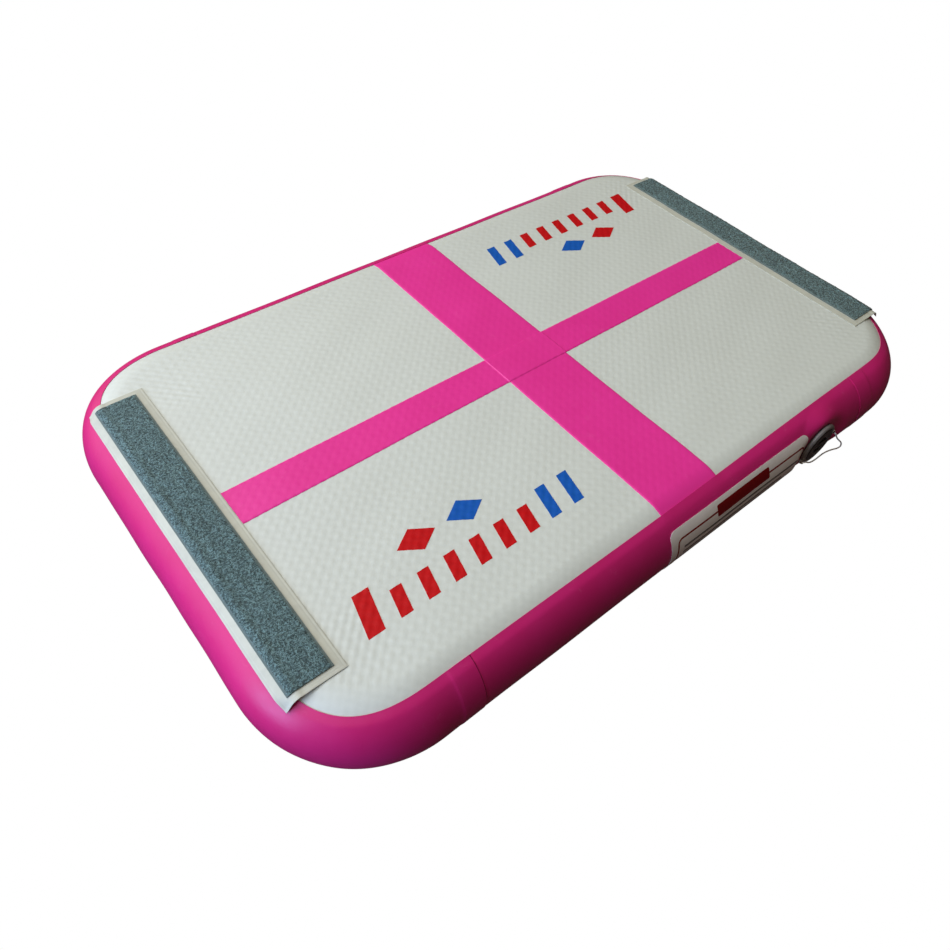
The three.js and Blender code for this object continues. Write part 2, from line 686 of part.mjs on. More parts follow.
// The push stem, with the head that a pump nozzle presses.
function valveStem() {
  return turned([
    [0, STEM_HEAD_TOP],
    [STEM_HEAD_RADIUS - STEM_CHAMFER, STEM_HEAD_TOP],
    [STEM_HEAD_RADIUS, STEM_HEAD_TOP + STEM_CHAMFER],
    [STEM_HEAD_RADIUS, STEM_HEAD_BOTTOM],
    [STEM_RADIUS, STEM_HEAD_BOTTOM],
    [STEM_RADIUS, STEM_END],
    [0, STEM_END],
  ], SMALL_ROUND_STEPS);
}

function valveSpring() {
  const top = STEM_HEAD_BOTTOM + GLUE_GAP + SPRING_WIRE_RADIUS;
  const bottom = GUIDE_TOP - GLUE_GAP - SPRING_WIRE_RADIUS;
  const steps = SPRING_TURNS * SPRING_STEPS_PER_TURN;
  const helix = [];
  for (let k = 0; k <= steps; k += 1) {
    const turn = (2 * Math.PI * SPRING_TURNS * k) / steps;
    const depth = top + ((bottom - top) * k) / steps;
    helix.push(new THREE.Vector3(SPRING_RADIUS * Math.cos(turn), depth, SPRING_RADIUS * Math.sin(turn)));
  }
  return roundTube(helix, SPRING_WIRE_RADIUS, SPRING_SIDES, steps);
}

function roundTube(route, radius, sides, steps) {
  const section = new THREE.Shape();
  for (let k = 0; k < sides; k += 1) {
    const angle = (2 * Math.PI * k) / sides;
    const point = [radius * Math.cos(angle), radius * Math.sin(angle)];
    if (k === 0) {
      section.moveTo(...point);
    } else {
      section.lineTo(...point);
    }
  }
  section.closePath();
  const extrudePath = new THREE.CatmullRomCurve3(route);
  return positionsOnly(new THREE.ExtrudeGeometry(section, { steps, extrudePath }));
}

// The screw cap: a flat plate and a plug, with two D-shaped pockets either side of its grip bar.
function valveCap() {
  const blank = turned([
    [0, -CAP_PROUD],
    [CAP_RADIUS - CAP_CHAMFER, -CAP_PROUD],
    [CAP_RADIUS, CAP_CHAMFER - CAP_PROUD],
    [CAP_RADIUS, CAP_PLATE_BACK],
    [CAP_PLUG_RADIUS, CAP_PLATE_BACK],
    [CAP_PLUG_RADIUS, CAP_PLUG_END],
    [0, CAP_PLUG_END],
  ]);
  const pocket = disc(CAP_POCKET_RADIUS, -CAP_PROUD - CUT_PAST, CAP_POCKET_DEPTH);
  const grip = new THREE.BoxGeometry(3 * CAP_POCKET_RADIUS, 3 * CAP_POCKET_DEPTH, CAP_GRIP_WIDTH);
  return cut(blank, [cut(pocket, [grip])]);
}

// The loose ring under the cap's plate, with an arm and a post that the tether is tied to.
function tetherRing() {
  const bottom = RING_TOP + RING_THICKNESS;
  return joined(ring(CAP_PLUG_RADIUS + BORE_CLEARANCE, RING_OUTER_RADIUS, RING_TOP, bottom), [
    radialBox(RING_OUTER_RADIUS - WELD_OVERLAP, POST_AT_RADIUS, ARM_WIDTH, RING_TOP, bottom, ARM_ANGLE),
    discAt(POST_RADIUS, -POST_PROUD, bottom, POST_AT_RADIUS, ARM_ANGLE),
  ]);
}

// The thin cord from the tether ring's post to the flange's lug: it leaves the post straight out, hangs in
// an open loop below the valve and comes back to the lug's face. Points are from the valve's face centre.
function tetherRoute() {
  return [
    [25.2, -1.8, 7.7],
    [25.4, -3.4, 7.3],
    [27.6, -4.9, 3],
    [34.5, -6.8, -5.5],
    [43, -8.5, -13.5],
    [50.5, -9.7, -22],
    [52.5, -9.9, -28.5],
    [47, -9.3, -29],
    [38, -7.8, -26.5],
    [27, -6.2, -24],
    [14, -5, -22.5],
    [5, -4.3, -25.8],
    [-5, -3.4, -26.5],
    [-14, -2.6, -22.5],
    [-20.5, -1.9, -17.8],
    [-24.6, -0.6, -17.2],
    [-25.8, 0.9, -17.9],
  ].map(([x, y, z]) => new THREE.Vector3(x, y, z));
}

function capTether() {
  return roundTube(tetherRoute(), CORD_RADIUS, CORD_SIDES, CORD_STEPS);
}

// ---- Materials and assembly ---------------------------------------------------------------------

function material(color, roughness, metalness = 0) {
  return new THREE.MeshStandardMaterial({ color, roughness, metalness });
}

const greySheet = material(0xd2d7d2, 0.45);
const pinkBand = material(0xd8309a, 0.4);
const rawCloth = material(0xe8e8e4, 0.9);
const creamBacking = material(0xd9d8cc, 0.5);
const slateLoop = material(0x50646a, 0.95);
const whiteLabel = material(0xe6e4de, 0.4);
const greyPlastic = material(0x8a8e90, 0.4);
const blackPlastic = material(0x1b1c1e, 0.45);
const blackRubber = material(0x202022, 0.8);
const springSteel = material(0xb8bcc0, 0.3, 1);
const whiteCord = material(0xd8cfd0, 0.7);

function part(name, geometry, surface) {
  const mesh = new THREE.Mesh(geometry, surface);
  mesh.name = name;
  return mesh;
}

const mat = new THREE.Group();
mat.add(
  part('top_sheet', coatedSheet(1), greySheet),
  part('bottom_sheet', coatedSheet(-1), greySheet),
  part('drop_stitch_core', dropStitchCore(), rawCloth),
  part('inner_side_band', innerBand(), pinkBand),
  part('near_side_band', outerBandSide(-1), pinkBand),
  part('far_side_band', outerBandSide(1), pinkBand),
  part('left_end_band', leftEndBand(), pinkBand),
  part('right_end_band', rightEndBand(), pinkBand),
  part('cross_tape', crossTape(), pinkBand),
  part('length_tape', lengthTape(), pinkBand),
  part('left_loop_backing', loopBacking(-1), creamBacking),
  part('right_loop_backing', loopBacking(1), creamBacking),
  part('left_loop_strip', loopStrip(-1), slateLoop),
  part('right_loop_strip', loopStrip(1), slateLoop),
  part('label_patch', labelPatch(), whiteLabel),
);

const valve = new THREE.Group();
valve.position.set(VALVE_X, VALVE_FACE_Y, VALVE_Z);
valve.add(
  part('valve_body', valveBody(), greyPlastic),
  part('valve_gasket', valveGasket(), blackRubber),
  part('valve_doubler', valveDoubler(), pinkBand),
  part('valve_nut', valveNut(), greyPlastic),
  part('valve_stem', valveStem(), blackPlastic),
  part('valve_spring', valveSpring(), springSteel),
  part('valve_diaphragm', valveDiaphragm(), blackRubber),
  part('stem_clip', stemClip(), blackPlastic),
  part('valve_cap', valveCap(), blackPlastic),
  part('cap_seal', capSeal(), blackRubber),
  part('tether_ring', tetherRing(), blackPlastic),
  part('cap_tether', capTether(), whiteCord),
);
mat.add(valve);

export default mat;
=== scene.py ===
"""Air track mat: its looks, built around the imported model.

Metres, in the row frame: +X runs along the mat, +Z up, and the valve and the label are on the near long
side, which faces -Y.
"""
import math

import bmesh
import bpy
import numpy as np
from mathutils import Matrix, Vector


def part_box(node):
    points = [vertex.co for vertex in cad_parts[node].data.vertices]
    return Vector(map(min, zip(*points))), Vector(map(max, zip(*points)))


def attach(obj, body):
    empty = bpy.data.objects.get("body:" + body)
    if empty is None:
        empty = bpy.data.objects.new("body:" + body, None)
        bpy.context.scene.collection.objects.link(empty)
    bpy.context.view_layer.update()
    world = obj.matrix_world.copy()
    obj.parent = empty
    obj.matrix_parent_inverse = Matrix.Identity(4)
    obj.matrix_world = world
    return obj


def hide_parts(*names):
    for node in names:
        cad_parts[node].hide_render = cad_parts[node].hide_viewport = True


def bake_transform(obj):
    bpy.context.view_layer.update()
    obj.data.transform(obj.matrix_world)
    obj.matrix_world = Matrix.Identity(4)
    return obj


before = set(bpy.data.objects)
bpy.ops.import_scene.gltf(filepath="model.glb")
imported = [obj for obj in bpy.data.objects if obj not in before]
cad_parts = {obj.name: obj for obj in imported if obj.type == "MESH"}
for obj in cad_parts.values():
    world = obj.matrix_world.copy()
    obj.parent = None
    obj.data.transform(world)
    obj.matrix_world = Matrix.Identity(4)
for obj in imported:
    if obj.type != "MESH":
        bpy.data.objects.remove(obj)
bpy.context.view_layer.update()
MM = 0.001

# ---- Sizes ------------

end_low, end_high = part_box("right_end_band")
gasket_low, gasket_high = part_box("valve_gasket")
label_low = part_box("label_patch")[0]
cross_low, cross_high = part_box("cross_tape")
strip_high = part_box("right_loop_strip")[1]
backing_low, backing_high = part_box("right_loop_backing")

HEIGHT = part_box("top_sheet")[1].z
MID_Z = HEIGHT / 2
SHEET_RADIUS = MID_Z
GLUE_GAP = 0.3 * MM
BAND_THICKNESS = 0.6 * MM
SHEET_THICKNESS = 0.9 * MM
LAYER_STEP = GLUE_GAP + BAND_THICKNESS
INNER_BAND_RADIUS = SHEET_RADIUS + LAYER_STEP
OUTER_BAND_RADIUS = INNER_BAND_RADIUS + LAYER_STEP
CORNER_RADIUS = 138 * MM
CORE_CORNER = CORNER_RADIUS - OUTER_BAND_RADIUS
CORE_X = end_high.x - OUTER_BAND_RADIUS
CORE_Y = end_high.y - LAYER_STEP - OUTER_BAND_RADIUS
CORNER_X = CORE_X - CORE_CORNER
CORNER_Y = CORE_Y - CORE_CORNER

SHEET_EDGE_ANGLE = 42
INNER_BAND_ANGLE = 53.25
OUTER_BAND_ANGLE = 66         # edge of the outer bands at the near side's left end
OUTER_BAND_RISE = 4.5         # and how much higher it has crept at the right end
FAR_BAND_ANGLE = 68.5
CORNER_DIP = 0.13             # round the corners the bands' edges lie lower by this share
LIP_DROP = 1.1 * MM           # past the inner band, the outer bands' lips come down on to the sheet
LIP_DROP_ON_TAPE = 0.55 * MM
CROSS_TAPE_END_ANGLE = 61.5
LABEL_ANGLE = 42.6
LABEL_RIGHT_X = 199 * MM
SIDE_BAND_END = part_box("far_side_band")[1].x
SEAM_X = {1: end_low.x, -1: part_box("left_end_band")[1].x}
SEAM_RAMP = 4 * MM
LAP_SINK = 0.28 * MM          # of a side band's end under the lap
LAP_RISE = 0.48 * MM          # of an end band over it

VALVE_X = (gasket_low.x + gasket_high.x) / 2
VALVE_Z = (gasket_low.z + gasket_high.z) / 2
VALVE_FACE_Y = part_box("valve_body")[0].y
FLAT_WALL_Y = gasket_high.y + GLUE_GAP
FLAT_RADIUS = 31 * MM         # of the flat face that the flange lies on
EASE_ALONG = 27 * MM          # beyond it the wall eases back to its bulge over these widths
EASE_UP = 15 * MM

BACKING_THICKNESS = 0.8 * MM
BACKING_WIDTH = 68 * MM
PATCH_CLEARANCE = 0.5 * MM
PATCH_CLIMB_START = 15 * MM
PATCH_CLIMB_END = 8 * MM
LOOP_THICKNESS = 2.2 * MM
LOOP_MARGIN = 10 * MM
LABEL_THICKNESS = 0.3 * MM

DIMPLE_PITCH = 11.43 * MM     # one period of the staggered dimples, along and across the mat
DIMPLE_DEPTH = 0.20 * MM
SKIN_PITCH = 2.5 * MM         # mesh step on the sheets
WALL_PITCH = 3.5 * MM

rng = np.random.default_rng(7)


def smoothstep(value, low, high):
    share = np.clip((value - low) / (high - low), 0, 1)
    return share * share * (3 - 2 * share)


# ---- Surfaces ------------

# Long shallow waves that every layer of the mat shares: wave vectors in 1/m, phases and heights.
WAVE_COUNT = 9
WAVE_HEIGHT = 0.11 * MM
wave_directions = rng.normal(size=(WAVE_COUNT, 3))
wave_directions /= np.linalg.norm(wave_directions, axis=1)[:, None]
wave_vectors = wave_directions * (2 * np.pi / rng.uniform(0.07, 0.2, WAVE_COUNT))[:, None]
wave_phases = rng.uniform(0, 2 * np.pi, WAVE_COUNT)


def waves(points):
    """Height of the shared waves at an array of points."""
    total = np.zeros(points.shape[:-1])
    for vector, phase in zip(wave_vectors, wave_phases):
        total += np.sin(points @ vector + phase)
    return WAVE_HEIGHT * total


def past_corners(x, y):
    """How far a plan position lies outside the rectangle of the corners' centres, along x and along y."""
    return x - np.clip(x, -CORNER_X, CORNER_X), y - np.clip(y, -CORNER_Y, CORNER_Y)


def outside_flat(x, y):
    """Distance outward from the outline of the flat part; zero on it."""
    return np.maximum(np.hypot(*past_corners(x, y)) - CORE_CORNER, 0)


def skin_normal(x, y):
    """The direction straight out of the mat over a plan point."""
    dx, dy = past_corners(x, y)
    plan = np.maximum(np.hypot(dx, dy), 1e-9)
    tilt = np.minimum(outside_flat(x, y) / SHEET_RADIUS, 1)
    return np.stack([tilt * dx / plan, tilt * dy / plan, np.sqrt(1 - tilt ** 2)], axis=-1)


# How far each corner of the filled mat reaches past its pattern, by the signs of its x and y.
CORNER_REACH = {(-1, -1): 1.5 * MM, (-1, 1): 4.5 * MM, (1, 1): 4 * MM, (1, -1): -4.5 * MM}
CORNER_SPREAD = 50 * MM


def filled_out(points):
    """The points moved from the pattern's outline to that of the filled mat."""
    moved = points.copy()
    diagonal = math.sqrt(0.5)
    for (sign_x, sign_y), reach in CORNER_REACH.items():
        apex = np.array([sign_x, sign_y]) * (np.array([CORNER_X, CORNER_Y]) + diagonal * CORNER_RADIUS)
        away = np.linalg.norm(points[..., :2] - apex, axis=-1) / CORNER_SPREAD
        share = diagonal * reach * np.exp(-away ** 2 / 2)
        moved[..., :2] += share[..., None] * np.array([sign_x, sign_y])
    return moved


def dimples(x, y):
    """The dimples where the core's yarns hold the sheet down, fading out over the shoulder."""
    u = np.cos(2 * np.pi * x / DIMPLE_PITCH)
    v = np.cos(2 * np.pi * y / DIMPLE_PITCH)
    fade = 1 - smoothstep(outside_flat(x, y), -1 * MM, 14 * MM)
    return DIMPLE_DEPTH * fade * (u * v + 0.3 * (u + v))


def on_skin(x, y, lift, dimpled=1.0):
    """Points over the top sheet's skin at plan positions x, y, raised by lift."""
    x, y = np.broadcast_arrays(np.asarray(x, float), np.asarray(y, float))
    z = MID_Z + np.sqrt(SHEET_RADIUS ** 2 - outside_flat(x, y) ** 2)
    points = np.stack([x, y, z], axis=-1)
    height = lift + waves(points) + dimpled * dimples(x, y)
    return filled_out(points + skin_normal(x, y) * np.asarray(height)[..., None])


def flat_share(x, z):
    """How far the wall is pulled to the flat face under the flange: 1 on it, 0 on the free bulge."""
    along, up = x - VALVE_X, z - VALVE_Z
    distance = np.maximum(np.hypot(along, up), 1e-9)
    ease = (EASE_ALONG * along ** 2 + EASE_UP * up ** 2) / distance ** 2
    return 1 - smoothstep(distance, FLAT_RADIUS, FLAT_RADIUS + np.maximum(ease, 1e-6))


def side_stations(xs, side):
    """Stations on a long side's straight outline (near is -1, far is 1): x, y and the outward direction."""
    xs = np.asarray(xs, float)
    zero = np.zeros_like(xs)
    return np.stack([xs, zero + side * CORE_Y, zero, zero + side], axis=-1)


def spread(low, high, pitch):
    """Even stops from low to high, about a pitch apart."""
    return np.linspace(low, high, max(2, round(abs(high - low) / pitch) + 1))


# The signs of x and y at the corners, in order from the near right one.
QUARTERS = np.array([(1, -1), (1, 1), (-1, 1), (-1, -1)])


def corner_fan(quarter, pitch):
    """The centre of a corner, and outward directions round it that are about a pitch apart on the outline."""
    steps = round(math.pi / 2 * CORNER_RADIUS / pitch)
    turn = np.radians(90 * quarter - 90 + 90 * np.arange(steps + 1) / steps)
    outward = np.stack([np.cos(turn), np.sin(turn)], axis=-1)
    return QUARTERS[quarter] * np.array([CORNER_X, CORNER_Y]), outward


def outline_stations(first, count, pitch):
    """Stations round some corners in order, and along the straight sides between them."""
    rows = []
    for quarter in range(first, first + count):
        centre, outward = corner_fan(quarter, pitch)
        corner = np.concatenate([centre + CORE_CORNER * outward, outward], axis=1)
        if rows:
            gap = np.linalg.norm(corner[0, :2] - rows[-1][-1, :2])
            share = np.linspace(0, 1, max(2, round(gap / pitch) + 1))[1:-1, None]
            rows.append(rows[-1][-1] * (1 - share) + corner[0] * share)
        rows.append(corner)
    return np.concatenate(rows)


def lean(stations):
    """The share of its angle that a band's edge keeps at each station."""
    return 1 - CORNER_DIP * (2 * stations[:, 2] * stations[:, 3]) ** 2


def wall_points(stations, angles, radius, lift=0.0):
    """Points on a layer of the side wall: a row for each station, a column for each angle in degrees.

    angles and radius are one number, one for each angle, or one for each station and angle. Every layer is
    pulled flat under the flange by the same share, which is taken at the outer band's height."""
    turn = np.radians(np.atleast_2d(angles))
    x0, y0, out_x, out_y = (stations[:, k][:, None] for k in range(4))
    x = x0 + out_x * radius * np.cos(turn)
    y = y0 + out_y * radius * np.cos(turn)
    z = MID_Z + radius * np.sin(turn) + 0 * x
    pull = flat_share(x, MID_Z + OUTER_BAND_RADIUS * np.sin(turn) + 0 * x) * (out_y < -0.999) * (y < 0)
    y = y + (FLAT_WALL_Y + OUTER_BAND_RADIUS - radius - y) * pull
    points = np.stack([x, y, z], axis=-1)
    normal = np.stack([out_x * np.cos(turn), out_y * np.cos(turn), np.sin(turn) + 0 * x], axis=-1)
    height = lift + waves(points) * (1 - pull)
    return filled_out(points + normal * height[..., None])


# ---- Meshes ------------

def new_object(name, points, faces):
    """An object with smooth faces turned outward and sharp edges kept."""
    mesh = bpy.data.meshes.new(name)
    mesh.from_pydata([tuple(p) for p in points], [], [tuple(f) for f in faces])
    made = bpy.data.objects.new(name, mesh)
    bpy.context.scene.collection.objects.link(made)
    return finish_mesh(made)


def finish_mesh(made, merge=1e-6, sharp_angle=38):
    """Merges doubled points, turns the faces outward and marks the sharp edges."""
    work = bmesh.new()
    work.from_mesh(made.data)
    bmesh.ops.remove_doubles(work, verts=work.verts, dist=merge)
    bmesh.ops.dissolve_degenerate(work, edges=work.edges, dist=merge)
    bmesh.ops.recalc_face_normals(work, faces=work.faces)
    limit = math.radians(sharp_angle)
    for face in work.faces:
        face.smooth = True
    for edge in work.edges:
        edge.smooth = len(edge.link_faces) != 2 or edge.calc_face_angle(0) < limit
    work.to_mesh(made.data)
    work.free()
    return made


def grid_faces(rows, columns, start=0, loop=False):
    """Quads over a grid of points, rows by columns, numbered from start."""
    i = np.arange(rows if loop else rows - 1)[:, None]
    j = np.arange(columns - 1)[None, :]
    a = start + i * columns + j
    b = start + ((i + 1) % rows) * columns + j
    return np.stack([a, b, b + 1, a + 1], axis=-1).reshape(-1, 4)


def layered(name, outer, inner, loop=False):
    """A closed thin solid between an outer and an inner grid of points of the same size."""
    rows, columns = outer.shape[:2]
    count = rows * columns
    points = np.concatenate([outer.reshape(-1, 3), inner.reshape(-1, 3)])
    faces = [grid_faces(rows, columns, 0, loop), grid_faces(rows, columns, count, loop)[:, ::-1]]
    i = np.arange(rows if loop else rows - 1)
    after = (i + 1) % rows
    for column in (0, columns - 1):
        a, b = i * columns + column, after * columns + column
        faces.append(np.stack([a, b, b + count, a + count], axis=-1))
    if not loop:
        j = np.arange(columns - 1)
        for row in (0, rows - 1):
            a = row * columns + j
            faces.append(np.stack([a, a + 1, a + 1 + count, a + count], axis=-1))
    return new_object(name, points, np.concatenate(faces))


def assembled(name, grids):
    """One object from several grids whose shared edges meet."""
    points, faces, start = [], [], 0
    for grid in grids:
        rows, columns = grid.shape[:2]
        points.append(grid.reshape(-1, 3))
        faces.append(grid_faces(rows, columns, start))
        start += rows * columns
    return new_object(name, np.concatenate(points), np.concatenate(faces))


def attribute(piece, name, values):
    """Stores one number per point for the shader. The mesh has to be unmerged since it was made."""
    made = piece.data.attributes.new(name, "FLOAT", "POINT")
    made.data.foreach_set("value", np.asarray(values, np.float32))


def applied(piece):
    """Applies all of a piece's modifiers."""
    graph = bpy.context.evaluated_depsgraph_get()
    mesh = bpy.data.meshes.new_from_object(piece.evaluated_get(graph))
    piece.modifiers.clear()
    piece.data = mesh
    return piece


def combine(base, others, operation):
    """Joins or cuts base with the other objects, which are used up."""
    for other in others:
        step = base.modifiers.new(operation, "BOOLEAN")
        step.operation = operation
        step.solver = "EXACT"
        step.object = other
        applied(base)
        bpy.data.objects.remove(other)
    return base


def edge_rounded(piece, width, segments=2, angle=40):
    """Rounds a piece's sharp edges over."""
    step = piece.modifiers.new("bevel", "BEVEL")
    step.width = width
    step.segments = segments
    step.limit_method = "ANGLE"
    step.angle_limit = math.radians(angle)
    applied(piece)
    return finish_mesh(piece)


# ---- Materials ------------

def node(tree, kind, inputs=None, **settings):
    """A shader node with its inputs set, or linked where the value is another node's output."""
    made = tree.nodes.new(kind)
    for key, value in settings.items():
        setattr(made, key, value)
    for key, value in (inputs or {}).items():
        if isinstance(value, bpy.types.NodeSocket):
            tree.links.new(value, made.inputs[key])
        else:
            made.inputs[key].default_value = value
    return made


def blank(name, **sockets):
    """A material with one Principled shader, and the uniform values set on its own sockets."""
    made = bpy.data.materials.new(name)
    made.use_nodes = True
    shader = made.node_tree.nodes["Principled BSDF"]
    for key, value in sockets.items():
        shader.inputs[key.replace("_", " ")].default_value = value
    return made, made.node_tree, shader


def place(tree):
    """The point's own place in metres, which goes with the piece."""
    return node(tree, "ShaderNodeTexCoord").outputs["Object"]


def noise(tree, scale, detail=2.0, roughness=0.5, distortion=0.0):
    return node(tree, "ShaderNodeTexNoise", {
        "Vector": place(tree), "Scale": scale, "Detail": detail, "Roughness": roughness,
        "Distortion": distortion,
    }).outputs["Fac"]


def remap(tree, value, low, high, to_low, to_high, kind="LINEAR"):
    return node(tree, "ShaderNodeMapRange", {
        "Value": value, "From Min": low, "From Max": high, "To Min": to_low, "To Max": to_high,
    }, interpolation_type=kind).outputs["Result"]


def math_of(tree, operation, *values):
    return node(tree, "ShaderNodeMath", dict(enumerate(values)), operation=operation).outputs[0]


def mixed(tree, share, first, second):
    """A colour between two colours, each of them a socket or red, green and blue."""
    ends = [end if isinstance(end, bpy.types.NodeSocket) else (*end, 1) for end in (first, second)]
    return node(tree, "ShaderNodeMix", {0: share, 6: ends[0], 7: ends[1]}, data_type="RGBA").outputs[2]


def bumped(tree, shader, height, distance, strength=1.0):
    """Adds a bump of the given height in metres to a shader's normal, on top of the bumps that it has."""
    normal = shader.inputs["Normal"]
    inputs = {"Height": height, "Distance": distance, "Strength": strength}
    if normal.is_linked:
        inputs["Normal"] = normal.links[0].from_socket
    bump = node(tree, "ShaderNodeBump", inputs)
    tree.links.new(bump.outputs["Normal"], normal)


def woven(tree, wave, pitch):
    """A pattern from -1 to 1 that repeats along x and y: the product of two sines or cosines."""
    axes = node(tree, "ShaderNodeSeparateXYZ", {"Vector": place(tree)})
    turns = [math_of(tree, "MULTIPLY", axes.outputs[axis], 2 * math.pi / pitch) for axis in ("X", "Y")]
    return math_of(tree, "MULTIPLY", *(math_of(tree, wave, turn) for turn in turns))


def finish(tree, shader, colour, roughness):
    tree.links.new(colour, shader.inputs["Base Color"])
    tree.links.new(roughness, shader.inputs["Roughness"])


def speckled(name, colours, pattern, share, rough, bump, grain=None, **sockets):
    """A material with one noise pattern in its colour and roughness, and in its bump unless that has a grain.

    pattern and grain are noise settings, share maps the pattern to the share of the second colour, rough is
    the range of the roughness, and bump is the bump's height and strength."""
    made, tree, shader = blank(name, **sockets)
    value = noise(tree, *pattern)
    colour = mixed(tree, remap(tree, value, *share), *colours)
    finish(tree, shader, colour, remap(tree, value, 0.3, 0.7, *rough))
    bumped(tree, shader, noise(tree, *grain) if grain else value, *bump)
    return made


def coated_sheet():
    """Cool grey-white PVC over the drop-stitch cloth: painted shade in the dimples' pits, a fine weave that
    shows through, marks.
    """
    made, tree, shader = blank("grey_sheet_pvc", Specular_IOR_Level=0.42, Coat_Weight=0.06,
                               Coat_Roughness=0.35)
    pattern = woven(tree, "COSINE", DIMPLE_PITCH)
    cloudy = noise(tree, 9, 4, 0.6)
    fine = noise(tree, 900, 2)
    mottle = noise(tree, 160, 3, 0.6)
    # painted shade: the colour is lighter on the dimples' crowns and darker in their pits
    dimpled = remap(tree, pattern, -1, 1, 0.2, 0.8)
    mottle_and_dimple_shade = math_of(tree, "ADD", dimpled, remap(tree, mottle, 0.3, 0.7, -0.3, 0.3))
    base = mixed(tree, mottle_and_dimple_shade, (0.55, 0.585, 0.552), (0.61, 0.645, 0.612))
    tinted = mixed(tree, remap(tree, cloudy, 0.35, 0.7, 0, 0.55), base, (0.59, 0.625, 0.592))
    finish(tree, shader, tinted, remap(tree, mottle, 0.3, 0.7, 0.38, 0.52))
    bumped(tree, shader, mottle, 0.10 * MM)
    bumped(tree, shader, fine, 0.03 * MM)
    return made


def band_pvc(name, deep, light):
    """Glossy pink PVC with a fine embossed grain, faint streaks and scuffs."""
    made, tree, shader = blank(name, Specular_IOR_Level=0.34, Coat_Weight=0.06, Coat_Roughness=0.28)
    cloudy = noise(tree, 14, 4, 0.6)
    scuffs = noise(tree, 70, 5, 0.7, 1.2)
    pebble = node(tree, "ShaderNodeTexVoronoi", {"Vector": place(tree), "Scale": 1150}, feature="F1")
    colour = mixed(tree, remap(tree, cloudy, 0.3, 0.7, 0, 1), deep, light)
    worn = mixed(tree, remap(tree, scuffs, 0.62, 0.8, 0, 0.10), colour, (0.85, 0.35, 0.58))
    finish(tree, shader, worn, remap(tree, scuffs, 0.3, 0.7, 0.33, 0.47))
    bumped(tree, shader, scuffs, 0.10 * MM)
    bumped(tree, shader, pebble.outputs["Distance"], 0.05 * MM)
    return made


def backing_pvc():
    """Cream PVC backing, a little soiled, with a fine cloth grain."""
    return speckled("cream_backing_pvc", ((0.50, 0.51, 0.44), (0.41, 0.42, 0.37)), pattern=(45, 5, 0.65, 0.6),
                    share=(0.4, 0.75, 0, 0.8), rough=(0.42, 0.6), bump=(0.04 * MM,), grain=(1300, 2),
                    Specular_IOR_Level=0.4)


def loop_pile():
    """The loop side of a hook-and-loop strip: tangled slate-grey nylon loops, with a flat woven rim."""
    made, tree, shader = blank("slate_loop_pile", Sheen_Weight=0.12, Sheen_Roughness=0.5)
    curl = noise(tree, 380, 3, 0.6, 2.4)
    hairs = noise(tree, 1300, 3, 0.6, 1.0)
    tufts = noise(tree, 480, 2, 0.7)
    rim = node(tree, "ShaderNodeAttribute", attribute_name="rim").outputs["Fac"]
    strands = math_of(tree, "ABSOLUTE", math_of(tree, "SUBTRACT", curl, 0.5))
    bright = remap(tree, strands, 0.0, 0.11, 1, 0)
    pile = mixed(tree, bright, (0.006, 0.021, 0.023), (0.25, 0.43, 0.46))
    pile = mixed(tree, remap(tree, tufts, 0.46, 0.58, 0, 0.8), pile, (0.012, 0.026, 0.027))
    pile = mixed(tree, remap(tree, hairs, 0.60, 0.72, 0, 0.7), pile, (0.34, 0.46, 0.46))
    colour = mixed(tree, rim, pile, (0.125, 0.175, 0.172))
    finish(tree, shader, colour, remap(tree, rim, 0, 1, 0.95, 0.7))
    bumped(tree, shader, bright, 0.35 * MM, 0.8)
    bumped(tree, shader, hairs, 0.12 * MM, 0.8)
    return made


def label_film():
    """White printed film, slightly creased and soiled."""
    return speckled("white_label_film", ((0.90, 0.87, 0.87), (0.82, 0.79, 0.79)), pattern=(60, 4, 0.6),
                    share=(0.35, 0.75, 0, 1), rough=(0.3, 0.42), bump=(0.15 * MM, 0.6),
                    Specular_IOR_Level=0.5)


def ink(name, full, thin, rough=0.4):
    """Screen-printed ink that is a little thinner in places."""
    return speckled(name, (full, thin), pattern=(240, 4, 0.6), share=(0.45, 0.8, 0, 1),
                    rough=(rough - 0.06, rough + 0.08), bump=(0.03 * MM,), Specular_IOR_Level=0.2)


def moulded(name, dark, light, rough, worn):
    """Moulded plastic with a fine spark-eroded grain, and edges rubbed lighter."""
    made, tree, shader = blank(name, Specular_IOR_Level=0.5)
    grain = noise(tree, 2600, 3, 0.6)
    cloudy = noise(tree, 90, 4, 0.6)
    edges = node(tree, "ShaderNodeNewGeometry").outputs["Pointiness"]
    colour = mixed(tree, remap(tree, cloudy, 0.3, 0.7, 0, 1), dark, light)
    rubbed = mixed(tree, remap(tree, edges, 0.52, 0.62, 0, 0.6), colour, worn)
    finish(tree, shader, rubbed, remap(tree, cloudy, 0.3, 0.7, rough - 0.05, rough + 0.08))
    bumped(tree, shader, grain, 0.02 * MM)
    return made


def rubber():
    """Black moulded rubber with a grey bloom."""
    return speckled("black_rubber_moulded", ((0.012, 0.012, 0.013), (0.045, 0.045, 0.047)),
                    pattern=(130, 5, 0.65), share=(0.4, 0.75, 0, 1), rough=(0.68, 0.85), bump=(0.02 * MM,),
                    grain=(1800, 2), Specular_IOR_Level=0.35)


def spring_wire():
    """Drawn steel wire."""
    return speckled("spring_steel_wire", ((0.46, 0.45, 0.43), (0.62, 0.61, 0.59)), pattern=(700, 3, 0.6, 0.4),
                    share=(0.3, 0.7, 0, 1), rough=(0.22, 0.36), bump=(0.01 * MM,), Metallic=1.0)


